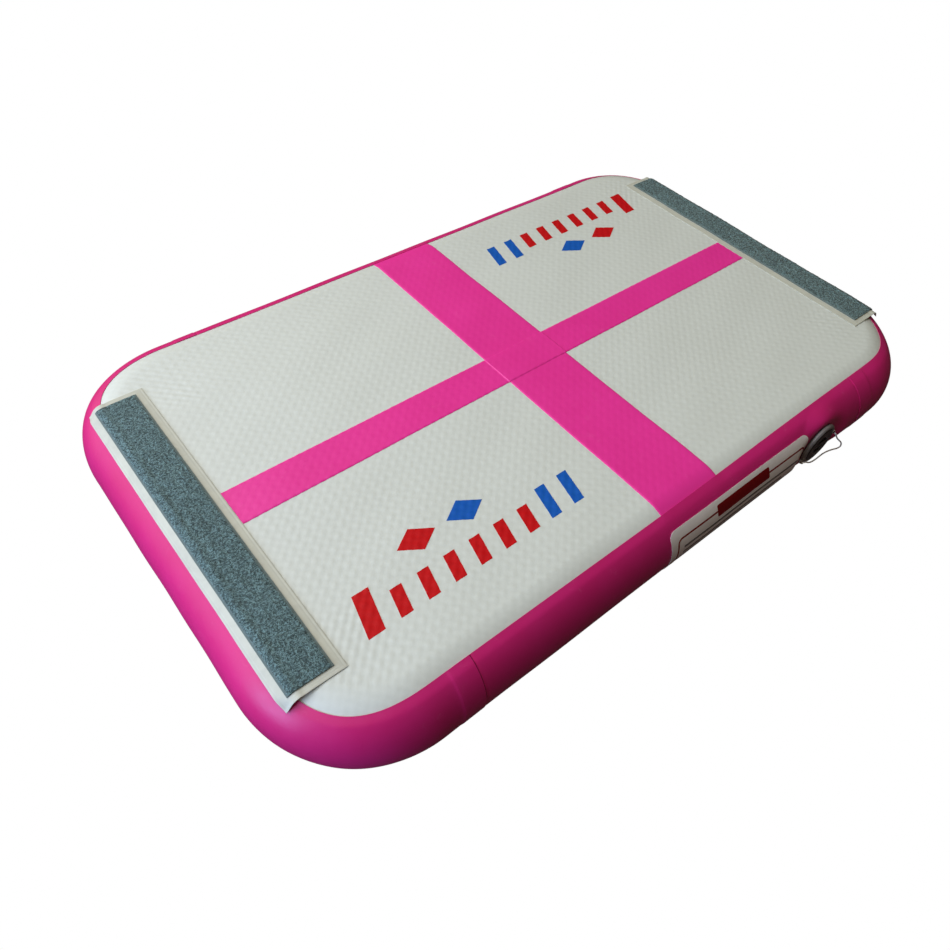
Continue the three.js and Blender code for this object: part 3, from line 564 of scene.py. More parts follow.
def woven_cloth():
    """Raw polyester base cloth: warp and weft a millimetre apart."""
    made, tree, shader = blank("raw_polyester_cloth", Sheen_Weight=0.2, Sheen_Roughness=0.5)
    weave = woven(tree, "SINE", MM)
    slub = noise(tree, 300, 3)
    colour = mixed(tree, remap(tree, weave, -1, 1, 0, 1), (0.58, 0.575, 0.55), (0.74, 0.735, 0.71))
    uneven = mixed(tree, remap(tree, slub, 0.4, 0.7, 0, 0.5), colour, (0.62, 0.61, 0.57))
    finish(tree, shader, uneven, remap(tree, slub, 0.3, 0.7, 0.8, 0.95))
    bumped(tree, shader, weave, 0.15 * MM)
    return made


def nylon_cord():
    """Off-white twisted nylon with fine fibres."""
    made, tree, shader = blank("white_nylon_cord", Sheen_Weight=0.7, Sheen_Roughness=0.4)
    fibre = noise(tree, 2400, 3, 0.6, 1.5)
    soil = noise(tree, 150, 3)
    colour = mixed(tree, remap(tree, fibre, 0.35, 0.65, 0, 1), (0.62, 0.58, 0.58), (0.88, 0.84, 0.83))
    soiled = mixed(tree, remap(tree, soil, 0.45, 0.75, 0, 0.5), colour, (0.62, 0.56, 0.55))
    finish(tree, shader, soiled, remap(tree, fibre, 0.3, 0.7, 0.5, 0.68))
    bumped(tree, shader, fibre, 0.06 * MM)
    return made


GREY_SHEET = coated_sheet()
PINK_TAPE = band_pvc("pink_tape_pvc", (0.73, 0.029, 0.275), (0.77, 0.034, 0.305))
# painted shade: a darker, deeper copy of the tape's pink PVC for the bands round the side walls, which lie in
# shade
PINK_BAND_SHADED = band_pvc("pink_band_pvc_shaded", (0.56, 0.014, 0.150), (0.60, 0.019, 0.180))
CREAM_BACKING = backing_pvc()
SLATE_LOOP = loop_pile()
WHITE_LABEL = label_film()
RED_INK = ink("red_ink", (0.50, 0.001, 0.004), (0.43, 0.002, 0.005), 0.6)
BLUE_INK = ink("blue_ink", (0.003, 0.085, 0.42), (0.006, 0.10, 0.38), 0.6)
DARK_RED_INK = ink("dark_red_ink", (0.20, 0.001, 0.003), (0.15, 0.001, 0.003), 0.6)
GREY_INK = ink("grey_ink", (0.10, 0.095, 0.095), (0.20, 0.19, 0.185))
GREY_PLASTIC = moulded("grey_moulded_plastic", (0.16, 0.15, 0.15), (0.20, 0.19, 0.19), 0.38,
                       (0.42, 0.41, 0.41))
BLACK_PLASTIC = moulded("black_moulded_plastic", (0.010, 0.010, 0.011), (0.020, 0.020, 0.021), 0.4,
                        (0.07, 0.07, 0.07))
BLACK_RUBBER = rubber()
SPRING_STEEL = spring_wire()
RAW_CLOTH = woven_cloth()
# painted shadow: the dark line along the left lap's edge, drawn as a thin layer of dark ink
SEAM_PAINTED_SHADOW = ink("seam_painted_shadow", (0.10, 0.002, 0.02), (0.14, 0.003, 0.03), 0.5)
WHITE_CORD = nylon_cord()


def settle(piece, material, slot, *replaced, body="board"):
    """Gives a finished piece its material, its body and the CAD nodes that it stands for."""
    piece.data.materials.clear()
    piece.data.materials.append(material)
    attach(piece, body)
    if replaced:
        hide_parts(*replaced)
    return piece


# ---- Camera and cord ------------

FRAME_SIDE = 950
SENSOR = 36
FOCAL_PIXELS = 800
CAMERA_PLACE = Vector((-0.5776, -0.5014, 0.7692))
CAMERA_RIGHT = Vector((0.7775, -0.6252, 0.0671))
CAMERA_UP = Vector((0.4226, 0.5987, 0.6804))
SHIFT_X = 0.0198
SHIFT_Y = -0.0520


def make_camera():
    lens = bpy.data.cameras.new("camera")
    lens.sensor_width = SENSOR
    lens.lens = SENSOR * FOCAL_PIXELS / FRAME_SIDE
    lens.shift_x = SHIFT_X
    lens.shift_y = SHIFT_Y
    right = CAMERA_RIGHT.normalized()
    back = right.cross(CAMERA_UP).normalized()
    up = back.cross(right)
    made = bpy.data.objects.new("camera", lens)
    made.matrix_world = Matrix.Translation(CAMERA_PLACE) @ Matrix((right, up, back)).transposed().to_4x4()
    bpy.context.scene.collection.objects.link(made)
    bpy.context.scene.camera = made


CORD_DIAMETER = 1.8 * MM
CORD_BULGE = 1.09             # the strands' tips stand out this much past the mean radius
CORD_STRANDS = 3
CORD_TWIST_LENGTH = 5 * MM
CORD_GROOVE = 0.22            # depth of the grooves between the strands, as a share of the radius
VALVE_FACE = np.array([VALVE_X, VALVE_FACE_Y, VALVE_Z])

# The tether's line from the cap ring's post to the flange's lug, in millimetres from the valve face's centre.
TETHER_ROUTE = VALVE_FACE + MM * np.array([
    [25.2, -1.8, 7.7], [25.4, -3.4, 7.3], [27.6, -4.9, 3], [34.5, -6.8, -5.5], [43, -8.5, -13.5],
    [50.5, -9.7, -22], [52.5, -9.9, -28.5], [47, -9.3, -29], [38, -7.8, -26.5], [27, -6.2, -24],
    [14, -5, -22.5], [5, -4.3, -25.8], [-5, -3.4, -26.5], [-14, -2.6, -22.5], [-20.5, -1.9, -17.8],
    [-24.6, -0.6, -17.2], [-25.8, 0.9, -17.9],
])


def smooth_line(points, per_span):
    """A centripetal Catmull-Rom curve through the points."""
    ends = [2 * points[0] - points[1], *points, 2 * points[-1] - points[-2]]
    line = []
    for p0, p1, p2, p3 in zip(ends, ends[1:], ends[2:], ends[3:]):
        knots = np.cumsum([0, *(np.linalg.norm(b - a) ** 0.5 for a, b in ((p0, p1), (p1, p2), (p2, p3)))])
        for t in np.linspace(knots[1], knots[2], per_span, endpoint=False):
            row = [p0, p1, p2, p3]
            for level in (1, 2, 3):
                shares = [(t - knots[k]) / (knots[k + level] - knots[k]) for k in range(4 - level)]
                row = [(1 - share) * row[k] + share * row[k + 1] for k, share in enumerate(shares)]
            line.append(row[0])
    return np.array([*line, points[-1]])


def relaxed(line, rounds):
    """The line with its bends eased and its ends kept."""
    for _ in range(rounds):
        line = np.concatenate([line[:1], (line[:-2] + 2 * line[1:-1] + line[2:]) / 4, line[-1:]])
    return line


def sweep(name, line, radius, sides, lobes=0):
    """A closed tube along a line; with lobes, its section is lobed and twists like a laid cord."""
    tangents = np.gradient(line, axis=0)
    tangents /= np.linalg.norm(tangents, axis=1)[:, None]
    across = np.cross(tangents[0], [0.3, 0.2, 1.0])
    across /= np.linalg.norm(across)
    walked = 0.0
    rings = []
    for index, (point, tangent) in enumerate(zip(line, tangents)):
        across = across - tangent * (across @ tangent)
        across /= np.linalg.norm(across)
        other = np.cross(tangent, across)
        if index:
            walked += np.linalg.norm(point - line[index - 1])
        turn = 2 * np.pi * np.arange(sides) / sides
        reach = radius * np.ones(sides)
        if lobes:
            phase = lobes * (turn - 2 * np.pi * walked / CORD_TWIST_LENGTH) / 2
            reach = radius * (1 - CORD_GROOVE * (1 - np.abs(np.cos(phase))))
        rings.append(point + np.outer(reach * np.cos(turn), across) + np.outer(reach * np.sin(turn), other))
    ends = [np.tile(line[k], (sides, 1)) for k in (0, -1)]
    around = np.arange(sides + 1) % sides
    return assembled(name, [np.stack([ends[0], *rings, ends[1]])[:, around]])


def helix(centre, first, second, rise, turns, steps_per_turn, start=0.0):
    """A line that winds from first towards second, both square to rise, and ends one rise further."""
    share = np.linspace(0, 1, round(turns * steps_per_turn) + 1)[:, None]
    turn = start + 2 * np.pi * turns * share
    return centre + np.cos(turn) * first + np.sin(turn) * second + share * rise


def hitch(name, centre, axis, radius, turns, rise, thickness):
    """Cord wound round a post: a short tight helix about an axis."""
    axis = Vector(axis).normalized()
    first = axis.orthogonal().normalized()
    second = axis.cross(first)
    along = rise * np.array(axis)
    line = helix(centre - along / 2, radius * np.array(first), radius * np.array(second), along, turns, 28)
    return sweep(name, line, thickness / 2, 12, CORD_STRANDS)


def make_tether():
    """The cord, with the hitch round the ring's post and the knot at the lug."""
    first, last = TETHER_ROUTE[0], TETHER_ROUTE[-1]
    line = relaxed(smooth_line(TETHER_ROUTE, 16), 30)
    cord = sweep("tether_cord", line, CORD_BULGE * CORD_DIAMETER / 2, 18, CORD_STRANDS)
    cord.data.materials.append(WHITE_CORD)
    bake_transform(cord)
    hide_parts("cap_tether")
    on_post, at_lug = first + MM * np.array([0, 1.9, 0]), last + MM * np.array([0, -0.6, 0])
    wound = hitch("tether_hitch", on_post, (0, 1, 0), radius=2.3 * MM, turns=1.2, rise=1.2 * MM,
                  thickness=1.2 * MM)
    settle(wound, WHITE_CORD, "white_cord", body="cap_carrier")
    knot = hitch("tether_knot", at_lug, (-0.4, 1, -0.2), radius=1.1 * MM, turns=1.6, rise=1.5 * MM,
                 thickness=1.4 * MM)
    settle(knot, WHITE_CORD, "white_cord")


# ---- Air chamber ------------

def plan_beyond(line, outward, walked):
    """Plan positions at walked distances over the skin, outward from points of the corner rectangle."""
    along = np.where(walked < CORE_CORNER, walked,
                     CORE_CORNER + SHEET_RADIUS * np.sin(np.maximum(walked - CORE_CORNER, 0) / SHEET_RADIUS))
    return line[:, None, :] + outward[:, None, :] * along[None, :, None]


def sheet_plan():
    """The plan grids of a whole sheet: middle, four sides and four round corners; and its edge's outline."""
    xs, ys = spread(-CORNER_X, CORNER_X, SKIN_PITCH), spread(-CORNER_Y, CORNER_Y, SKIN_PITCH)
    shoulder = SHEET_RADIUS * math.radians(90 - SHEET_EDGE_ANGLE)
    walked = spread(0, CORE_CORNER + shoulder, SKIN_PITCH)
    grids = [np.stack(np.meshgrid(xs, ys, indexing="ij"), axis=-1)]
    edge = []
    sides = ((CORNER_X, ys), (xs[::-1], CORNER_Y), (-CORNER_X, ys[::-1]), (xs, -CORNER_Y))
    for quarter, side in enumerate(sides):
        centre, outward = corner_fan(quarter, WALL_PITCH)
        grids.append(plan_beyond(np.tile(centre, (len(outward), 1)), outward, walked))
        edge.append(grids[-1][:, -1])
        line = np.stack(np.broadcast_arrays(*side), axis=-1).astype(float)
        grids.append(plan_beyond(line, np.tile(outward[-1], (len(line), 1)), walked))
        edge.append(grids[-1][1:-1, -1])
    return grids, np.concatenate(edge)


FLOOR_PRESS = 2.5 * WAVE_HEIGHT + 1.6 * DIMPLE_DEPTH    # how far the floor presses the bottom sheet flat
INNER_FACE_REACHES = (1, 0.75, 0.45, 0.2, 0)    # rings of the sheets' inner face, as shares of the shoulder


def make_sheet(word):
    """A coated sheet: a fine dimpled skin, a plain inner face and the edge between them."""
    plans, edge = sheet_plan()
    bottom = word == "bottom"
    flip = np.array([1, 1, -1 if bottom else 1])
    shift = np.array([0, 0, HEIGHT if bottom else 0])
    press = FLOOR_PRESS if bottom else 0

    def skin(plan, lift, dimpled):
        points = on_skin(plan[..., 0], plan[..., 1], lift - press, dimpled) * flip + shift
        return np.maximum(points, [-np.inf, -np.inf, 0])

    grids = [skin(plan, 0.0, 1.0) for plan in plans]
    rim_reach = SHEET_RADIUS * math.cos(math.radians(SHEET_EDGE_ANGLE))
    middle = np.clip(edge, [-CORNER_X, -CORNER_Y], [CORNER_X, CORNER_Y])
    away = edge - middle
    away /= np.linalg.norm(away, axis=1)[:, None]
    loop = np.arange(len(edge) + 1) % len(edge)
    reaches = np.array([*(share * rim_reach for share in INNER_FACE_REACHES), -CORE_CORNER])
    inner_plan = middle[:, None] + away[:, None] * (CORE_CORNER + reaches)[None, :, None]
    inner = skin(inner_plan, -SHEET_THICKNESS, 0.0)
    edge_outer = skin(edge[:, None], 0.0, 1.0)
    rim = np.concatenate([edge_outer, inner[:, :1]], axis=1)
    centre = np.tile(skin(np.zeros((1, 1, 2)), -SHEET_THICKNESS, 0.0), (len(edge), 1, 1))
    fan = np.concatenate([inner[:, -1:], centre], axis=1)
    made = assembled(f"{word}_skin", [*grids, rim[loop], inner[loop], fan[loop]])
    settle(made, GREY_SHEET, "grey_sheet", f"{word}_sheet")


LIP_SHARE = 0.78              # the mesh rows are finer past this share of a band's half width
BAND_ROWS = np.concatenate([
    spread(-1, -LIP_SHARE, 0.016), spread(-LIP_SHARE, LIP_SHARE, 0.035)[1:-1], spread(LIP_SHARE, 1, 0.016),
])


def wall_band(name, stations, edge_angles, radius_at, loop=False):
    """A band of the side wall, with an edge angle at each station."""
    angles = edge_angles[:, None] * BAND_ROWS[None, :]
    radius = radius_at(stations, angles)
    outer = wall_points(stations, angles, radius)
    inner = wall_points(stations, angles, radius - BAND_THICKNESS)
    return layered(name, outer, inner, loop)


def outer_edge(stations):
    """Edge angle of the outer bands: it creeps up toward the right, and dips round the corners."""
    near = OUTER_BAND_ANGLE + OUTER_BAND_RISE * smoothstep(stations[:, 0], -100 * MM, 300 * MM)
    far_share = smoothstep(stations[:, 1], -CORNER_Y, CORNER_Y)
    return (near + (FAR_BAND_ANGLE - near) * far_share) * lean(stations)


def outer_radius(stations, angles):
    """Radius of the outer bands, whose lips come down past the inner band, less far over the cross tape."""
    inner_edge = (INNER_BAND_ANGLE * lean(stations))[:, None]
    past = smoothstep(np.abs(angles), inner_edge, outer_edge(stations)[:, None])
    from_tape = np.abs(stations[:, 0] - (cross_low.x + cross_high.x) / 2) - (cross_high.x - cross_low.x) / 2
    on_tape = (1 - smoothstep(from_tape, 1 * MM, 4 * MM)) * (np.abs(stations[:, 3]) > 0.999)
    drop = LIP_DROP + (LIP_DROP_ON_TAPE - LIP_DROP) * on_tape
    return OUTER_BAND_RADIUS - past * drop[:, None]


def cut_for_valve(band):
    """Cuts the round hole behind the flange into a layer of the near wall."""
    combine(band, [lathe("valve_hole", [(0, 4), (18.4, 4), (18.4, 12), (0, 12)], 96)], "DIFFERENCE")
    finish_mesh(band)


def near_xs(low, high):
    """Stops along the near side, closer together around the valve."""
    reach = FLAT_RADIUS + EASE_ALONG
    left, right = VALVE_X - reach, VALVE_X + reach
    before, after = spread(low, left, WALL_PITCH), spread(right, high, WALL_PITCH)
    return np.concatenate([before[:-1], spread(left, right, WALL_PITCH / 2)[:-1], after])


def make_inner_band():
    near = side_stations(near_xs(-CORNER_X, CORNER_X)[1:-1], -1)
    stations = np.concatenate([outline_stations(0, 4, 2 * WALL_PITCH), near])
    made = wall_band("inner_band", stations, INNER_BAND_ANGLE * lean(stations),
                     lambda places, angles: INNER_BAND_RADIUS + 0 * angles, loop=True)
    cut_for_valve(made)
    settle(made, PINK_BAND_SHADED, "pink_band", "inner_side_band")


def side_radius(stations, angles):
    """The side bands sink a little under the end bands' laps."""
    x = stations[:, 0]
    under = sum(smoothstep(end * x, end * SEAM_X[end] - SEAM_RAMP, end * SEAM_X[end]) for end in (1, -1))
    return outer_radius(stations, angles) - LAP_SINK * under[:, None]


def make_side_band(side, word):
    ramps = [SEAM_X[end] - end * spread(0, SEAM_RAMP, SEAM_RAMP / 4) for end in (-1, 1)]
    xs = np.unique(np.concatenate([near_xs(-SIDE_BAND_END, SIDE_BAND_END), *ramps]).round(5))
    stations = side_stations(xs, side)
    made = wall_band(f"{word}_strip", stations, outer_edge(stations), side_radius)
    if word == "near":
        cut_for_valve(made)
    settle(made, PINK_BAND_SHADED, "pink_band", f"{word}_side_band")


def end_radius(stations, angles):
    """The end bands rise a little over the side bands' ends."""
    beyond = smoothstep(np.abs(stations[:, 0]), SIDE_BAND_END, SIDE_BAND_END + SEAM_RAMP)
    return outer_radius(stations, angles) + LAP_RISE * (1 - beyond)[:, None]


def make_end_band(side, word):
    """The band round one end, lapped over both side bands."""
    stops = np.concatenate([
        spread(SEAM_X[side], side * SIDE_BAND_END, WALL_PITCH)[:-1],
        side * spread(SIDE_BAND_END, SIDE_BAND_END + SEAM_RAMP, SEAM_RAMP / 4),
        side * spread(SIDE_BAND_END + SEAM_RAMP, CORNER_X, WALL_PITCH)[1:-1],
    ])
    corners = outline_stations(0 if side > 0 else 2, 2, WALL_PITCH)
    stations = np.concatenate([side_stations(stops, -side), corners, side_stations(stops[::-1], side)])
    made = wall_band(f"{word}_strip", stations, outer_edge(stations), end_radius)
    settle(made, PINK_BAND_SHADED, "pink_band", f"{word}_end_band")


def make_seam_painted_shadow(side, word):
    """A thin dark line painted along the edge of the left end band's lap: painted shadow of the lap's step.
    """
    stations = side_stations([SEAM_X[-1] + 0.9 * MM, SEAM_X[-1] - 0.3 * MM], side)
    angles = outer_edge(stations)[:, None] * BAND_ROWS[None, :]
    radius = side_radius(stations, angles)
    outer, inner = (wall_points(stations, angles, radius + height) for height in (0.06 * MM, -0.05 * MM))
    settle(layered(f"{word}_seam_painted_shadow", outer, inner), SEAM_PAINTED_SHADOW, "pink_band")


# ---- Bonded on top ------------

TAPE_GLUE = 0.05 * MM
TAPE_SLOPE = 1 * MM           # the tapes' edges are rolled down over this width
TAPE_RAMP = 1.4 * MM          # along the narrow tape, where it climbs on to the wide one
TAPE_EDGE_SHARE = 0.25        # of the tape's thickness at its rolled edge
TAPE_DIMPLE_SHARE = 0.8       # of the sheet's dimples that show through


def from_ends(stops):
    """How far each stop is from the nearer end."""
    return np.minimum(stops - stops[0], stops[-1] - stops)


def tape_stops(low, high, stops=()):
    """Stops from one edge of a tape to the other, with those of its rolled edges."""
    edge = spread(0, TAPE_SLOPE, TAPE_SLOPE / 3)
    middle = spread(low + TAPE_SLOPE, high - TAPE_SLOPE, SKIN_PITCH)
    return np.unique(np.concatenate([low + edge, middle, high - edge, *stops]).round(6))


def tape(word, xs, ys, lift, edge_share):
    """A tape on the skin over stops along x and y. edge_share is 0 on its long edges and 1 inside."""
    top = lift + BAND_THICKNESS * (TAPE_EDGE_SHARE + (1 - TAPE_EDGE_SHARE) * edge_share)
    under = lift + 0 * edge_share
    outer, inner = (on_skin(xs[:, None], ys[None, :], height, TAPE_DIMPLE_SHARE) for height in (top, under))
    settle(layered(f"{word}_strip", outer, inner), PINK_TAPE, "pink_band", f"{word}_tape")


def make_cross_tape():
    reach = SHEET_RADIUS * math.cos(math.radians(CROSS_TAPE_END_ANGLE))
    xs = tape_stops(cross_low.x, cross_high.x)
    ys = spread(-CORE_Y - reach, CORE_Y + reach, SKIN_PITCH)
    edge_share = smoothstep(from_ends(xs), 0, TAPE_SLOPE)
    tape("cross", xs, ys, TAPE_GLUE, edge_share[:, None] + 0 * ys)


def make_length_tape():
    """The narrow tape, which steps up over the wide one."""
    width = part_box("length_tape")[1].y
    end = backing_low.x - GLUE_GAP
    steps = spread(-TAPE_RAMP, TAPE_RAMP, TAPE_RAMP / 4)
    xs = tape_stops(-end, end, (cross_low.x + steps, cross_high.x + steps))
    ys = tape_stops(-width, width)
    step = (smoothstep(xs, cross_low.x - TAPE_RAMP, cross_low.x)
            - smoothstep(xs, cross_high.x, cross_high.x + TAPE_RAMP))
    edge_share = smoothstep(from_ends(ys), 0, TAPE_SLOPE)
    lift = TAPE_GLUE + (BAND_THICKNESS + TAPE_GLUE) * step
    tape("length", xs, ys, lift[:, None], edge_share[None, :] + 0 * xs[:, None])


PATCH_DIMPLE_SHARE = 0.4      # of the sheet's dimples that show through the patches


def end_patch(name, side, ys, distances, under, over):
    """A patch over one end's shoulder, with the same section all along. Its under and upper side lie at
    the given heights above the skin, and it climbs on to the outer band's edge."""
    beyond = backing_low.x + distances - CORE_X
    angle = np.maximum(beyond, 0) / OUTER_BAND_RADIUS
    band_edge = OUTER_BAND_RADIUS * math.cos(math.radians(OUTER_BAND_ANGLE))
    walked = SHEET_RADIUS * np.sin(angle)
    climb = smoothstep(walked, band_edge - PATCH_CLIMB_START, band_edge - PATCH_CLIMB_END)
    base = SHEET_RADIUS + PATCH_CLEARANCE + (OUTER_BAND_RADIUS - SHEET_RADIUS) * climb

    def surface(height):
        reach = base + height + 0 * ys[:, None]
        x = side * (CORE_X + np.minimum(beyond, 0) + reach * np.sin(angle))
        points = np.stack([x, ys[:, None] + 0 * x, MID_Z + reach * np.cos(angle)], axis=-1)
        normal = np.stack([side * np.sin(angle), 0 * angle, np.cos(angle)], axis=-1)
        bulge = waves(points) + PATCH_DIMPLE_SHARE * dimples(points[..., 0], points[..., 1])
        return points + normal * bulge[..., None]

    return layered(name, surface(over), surface(under))


CORNER_DROOP = 5 * MM
DROOP_REACH = 15 * MM
WELD_INSET, WELD_WIDTH, WELD_DEPTH = 2.9 * MM, 0.45 * MM, 0.12 * MM
EDGE_ROUNDING = 0.18 * MM
INNER_EDGE_SETTLE = 0.35 * MM    # the edge on the mat's top lies this much closer to it
RIM_STOPS = MM * np.array([0, 0.3, 0.8, 2.2, 2.7, 3.2, 3.7, 4.5])    # mesh steps over the welded rim
RIM_WIDTH = 7 * MM


def edge_distance(ys, distances):
    """Distance of each grid point from the patch's nearest edge."""
    return np.minimum(from_ends(distances)[None, :], from_ends(ys)[:, None])


def corner_droop(ys, distances):
    """How far a patch hangs down towards its two outer corners."""
    outward = smoothstep(distances, BACKING_WIDTH - DROOP_REACH, BACKING_WIDTH)
    endward = smoothstep(np.abs(ys), backing_high.y - DROOP_REACH, backing_high.y)
    return CORNER_DROOP * endward[:, None] * outward[None, :]


def rimmed(low, high, pitch):
    """Stops from low to high, with fine ones over the rim at either end."""
    middle = spread(low + RIM_WIDTH, high - RIM_WIDTH, pitch)
    return np.concatenate([low + RIM_STOPS, middle, high - RIM_STOPS[::-1]])


def make_backing(side, word):
    """The cream backing: a welded line near its edge, and outer corners that hang down a little."""
    ys = rimmed(-backing_high.y, backing_high.y, 4 * MM)
    distances = rimmed(0, BACKING_WIDTH, 2.4 * MM)
    rim = edge_distance(ys, distances)
    weld = WELD_DEPTH * np.exp(-((rim - WELD_INSET) / WELD_WIDTH) ** 2)
    rounded = EDGE_ROUNDING * (1 - smoothstep(rim, 0, 0.6 * MM))
    settled = INNER_EDGE_SETTLE * (1 - smoothstep(distances, 0, 12 * MM))[None, :]
    under = -settled - corner_droop(ys, distances)
    over = under + BACKING_THICKNESS - weld - rounded
    made = end_patch(f"{word}_backing", side, ys, distances, under, over)
    settle(made, CREAM_BACKING, "cream_backing", f"{word}_loop_backing")


def fuzz(shape, smoothing):
    """Seeded random heights from about -1 to 1, smoothed over neighbours."""
    field = rng.normal(size=shape)
    for _ in range(smoothing):
        field = (field + sum(np.roll(field, step, axis) for axis in (0, 1) for step in (1, -1))) / 5
    return field / np.abs(field).max()


STRIP_GLUE = 0.1 * MM
PILE_PITCH = 0.95 * MM        # mesh step on the strip
PILE_HEIGHT = 0.75 * MM
PILE_ROOM = 0.7 * MM          # how far the pile's roots lie below the strip's full thickness
PILE_CROWN = 0.35 * MM
FINE_FUZZ_SHARE = 0.55
SELVEDGE_DIP = 0.45 * MM      # of the flat woven rims below the pile's roots


def make_loop_strip(side, word):
    """The loop strip: a fuzzy pile between flat woven rims."""
    ys = spread(-strip_high.y, strip_high.y, PILE_PITCH)
    distances = spread(LOOP_MARGIN, BACKING_WIDTH - LOOP_MARGIN, PILE_PITCH)
    rim = edge_distance(ys, distances)
    selvedge = 1 - smoothstep(from_ends(distances)[None, :], 1.4 * MM, 2.8 * MM) + 0 * rim
    pile = smoothstep(rim, 0.4 * MM, 2.6 * MM) * (1 - selvedge)
    rough = FINE_FUZZ_SHARE * fuzz(rim.shape, 1) + (1 - FINE_FUZZ_SHARE) * fuzz(rim.shape, 6)
    crown = PILE_CROWN * smoothstep(rim, 0, 9 * MM)
    under = BACKING_THICKNESS + STRIP_GLUE - corner_droop(ys, distances)
    flat = under + LOOP_THICKNESS - PILE_ROOM
    over = flat + crown + PILE_HEIGHT * pile * (0.3 + rough) - SELVEDGE_DIP * selvedge
    made = end_patch(f"{word}_pile", side, ys, distances, under, over)
    attribute(made, "rim", np.tile(selvedge.reshape(-1), 2))
    settle(made, SLATE_LOOP, "slate_loop", f"{word}_loop_strip")


PRINT_RAISE = 0.22 * MM
PRINT_SINK = 0.05 * MM
PRINT_PITCH = 1.5 * MM
BAR_LEFT, BAR_RIGHT = -0.384, -0.090
BAR_BOTTOM = -0.204
BAR_SLANT = 0.25              # how far a bar leans to the right for its height
# Width, height and ink of the bars from left to right: a capital, a small row and a taller pair.
BARS = [
    (18.9 * MM, 46 * MM, RED_INK), *[(14 * MM, 31 * MM, RED_INK)] * 6, *[(14 * MM, 40 * MM, BLUE_INK)] * 2,
]
BAR_PITCH = (BAR_RIGHT - BAR_LEFT) / len(BARS)
DIAMOND_Y = -0.141
DIAMOND_HALF = (24 * MM, 15 * MM)
DIAMONDS = {"red": (-0.282, RED_INK), "blue": (-0.219, BLUE_INK)}    # x and ink


def skin_print(name, side, centre, along, across, material):
    """A raised print on the top sheet: the parallelogram spanned by two half vectors about a centre.

    The places are those of the left print; the right one is turned half round."""
    steps = max(2, round(2 * max(np.hypot(*along), np.hypot(*across)) / PRINT_PITCH))
    u = np.linspace(-1, 1, steps + 1)[:, None]
    v = np.linspace(-1, 1, steps + 1)[None, :]
    x, y = (-side * (centre[k] + u * along[k] + v * across[k]) for k in (0, 1))
    made = layered(name, on_skin(x, y, PRINT_RAISE), on_skin(x, y, -PRINT_SINK))
    settle(made, material, "grey_sheet")


def make_prints(side, word):
    """A row of plain slanted bars and two plain diamonds."""
    for k, (width, height, material) in enumerate(BARS):
        centre = (BAR_LEFT + (k + 0.5) * BAR_PITCH, BAR_BOTTOM + height / 2)
        lean_by = BAR_SLANT * height / 2
        skin_print(f"{word}_print_bar_{k + 1}", side, centre, (width / 2, 0), (lean_by, height / 2), material)
    along, across = (half / 2 for half in DIAMOND_HALF)
    for colour, (x, material) in DIAMONDS.items():
        name = f"{word}_print_diamond_{colour}"
        skin_print(name, side, (x, DIAMOND_Y), (along, across), (along, -across), material)


# ---- Label ------------

LABEL_RADIUS = OUTER_BAND_RADIUS + GLUE_GAP + LABEL_THICKNESS
LABEL_PITCH = 1.5 * MM
DEGREES = math.degrees(1 / LABEL_RADIUS)    # of the wall's angle for a metre round it
INK_RAISE = 0.12 * MM
INK_THICKNESS = 0.10 * MM
FRAME = (-0.044, 0.190, -37, 27)            # low and high x, low and high angle above mid height
BLOCK = (0.023, 0.120, 19, 35.5)
LINE_LEFT, LINE_RIGHT, LINE_INDENT = -0.034, 0.178, 0.03
LINE_TOP, LINE_PITCH, LINE_HEIGHT = 13, 9.5, 3.2
LINE_COUNT = 5


def wall_layer(name, x, angles, raise_by, thickness, loop=False):
    """A thin piece on the near wall, over a grid of x and angles."""
    stations = side_stations(x.reshape(-1), -1)
    outer, inner = (
        wall_points(stations, angles.reshape(-1, 1), LABEL_RADIUS + height)[:, 0].reshape(*x.shape, 3)
        for height in (raise_by, raise_by - thickness)
    )
    return layered(name, outer, inner, loop)


def wall_patch(name, low_x, high_x, low_angle, high_angle, corner,
               raise_by=INK_RAISE, thickness=INK_THICKNESS):
    """A rounded rectangle on the near wall, given by x and by angle above mid height."""
    corner_rows = corner * (1 - np.cos(np.linspace(0, math.pi / 2, 7)))
    height = (high_angle - low_angle) / DEGREES
    middle = spread(corner, height - corner, LABEL_PITCH)
    rows = np.unique(np.concatenate([corner_rows, middle, height - corner_rows]).round(7))
    short = np.maximum(corner - np.minimum(rows, height - rows), 0)
    inset = corner - np.sqrt(np.maximum(corner ** 2 - short ** 2, 0))
    share = np.linspace(0, 1, max(3, round((high_x - low_x) / LABEL_PITCH)) + 1)[:, None]
    x = (low_x + inset)[None, :] * (1 - share) + (high_x - inset)[None, :] * share
    return wall_layer(name, x, np.broadcast_to(low_angle + rows * DEGREES, x.shape), raise_by, thickness)


def wall_frame(name, low_x, high_x, low_angle, high_angle, corner, line_width):
    """A thin rounded frame line on the near wall."""
    width, height = high_x - low_x, (high_angle - low_angle) / DEGREES
    path = []
    for centre_u, centre_v, start in (
        (width - corner, corner, -90), (width - corner, height - corner, 0),
        (corner, height - corner, 90), (corner, corner, 180),
    ):
        for turn in np.radians(start + np.linspace(0, 90, 9)):
            path.append((centre_u, centre_v, math.cos(turn), math.sin(turn)))
    path = np.array(path)
    filled = []
    for first, second in zip(path, np.roll(path, -1, axis=0)):
        ends = [(p[0] + corner * p[2], p[1] + corner * p[3]) for p in (first, second)]
        steps = max(1, round(math.dist(*ends) / (2 * MM)))
        filled += [first + (second - first) * k / steps for k in range(steps)]
    filled = np.array(filled)
    reach = np.array([corner - line_width / 2, corner + line_width / 2])
    u = filled[:, :1] + filled[:, 2:3] * reach
    v = filled[:, 1:2] + filled[:, 3:4] * reach
    return wall_layer(name, low_x + u, low_angle + v * DEGREES, INK_RAISE, INK_THICKNESS, loop=True)


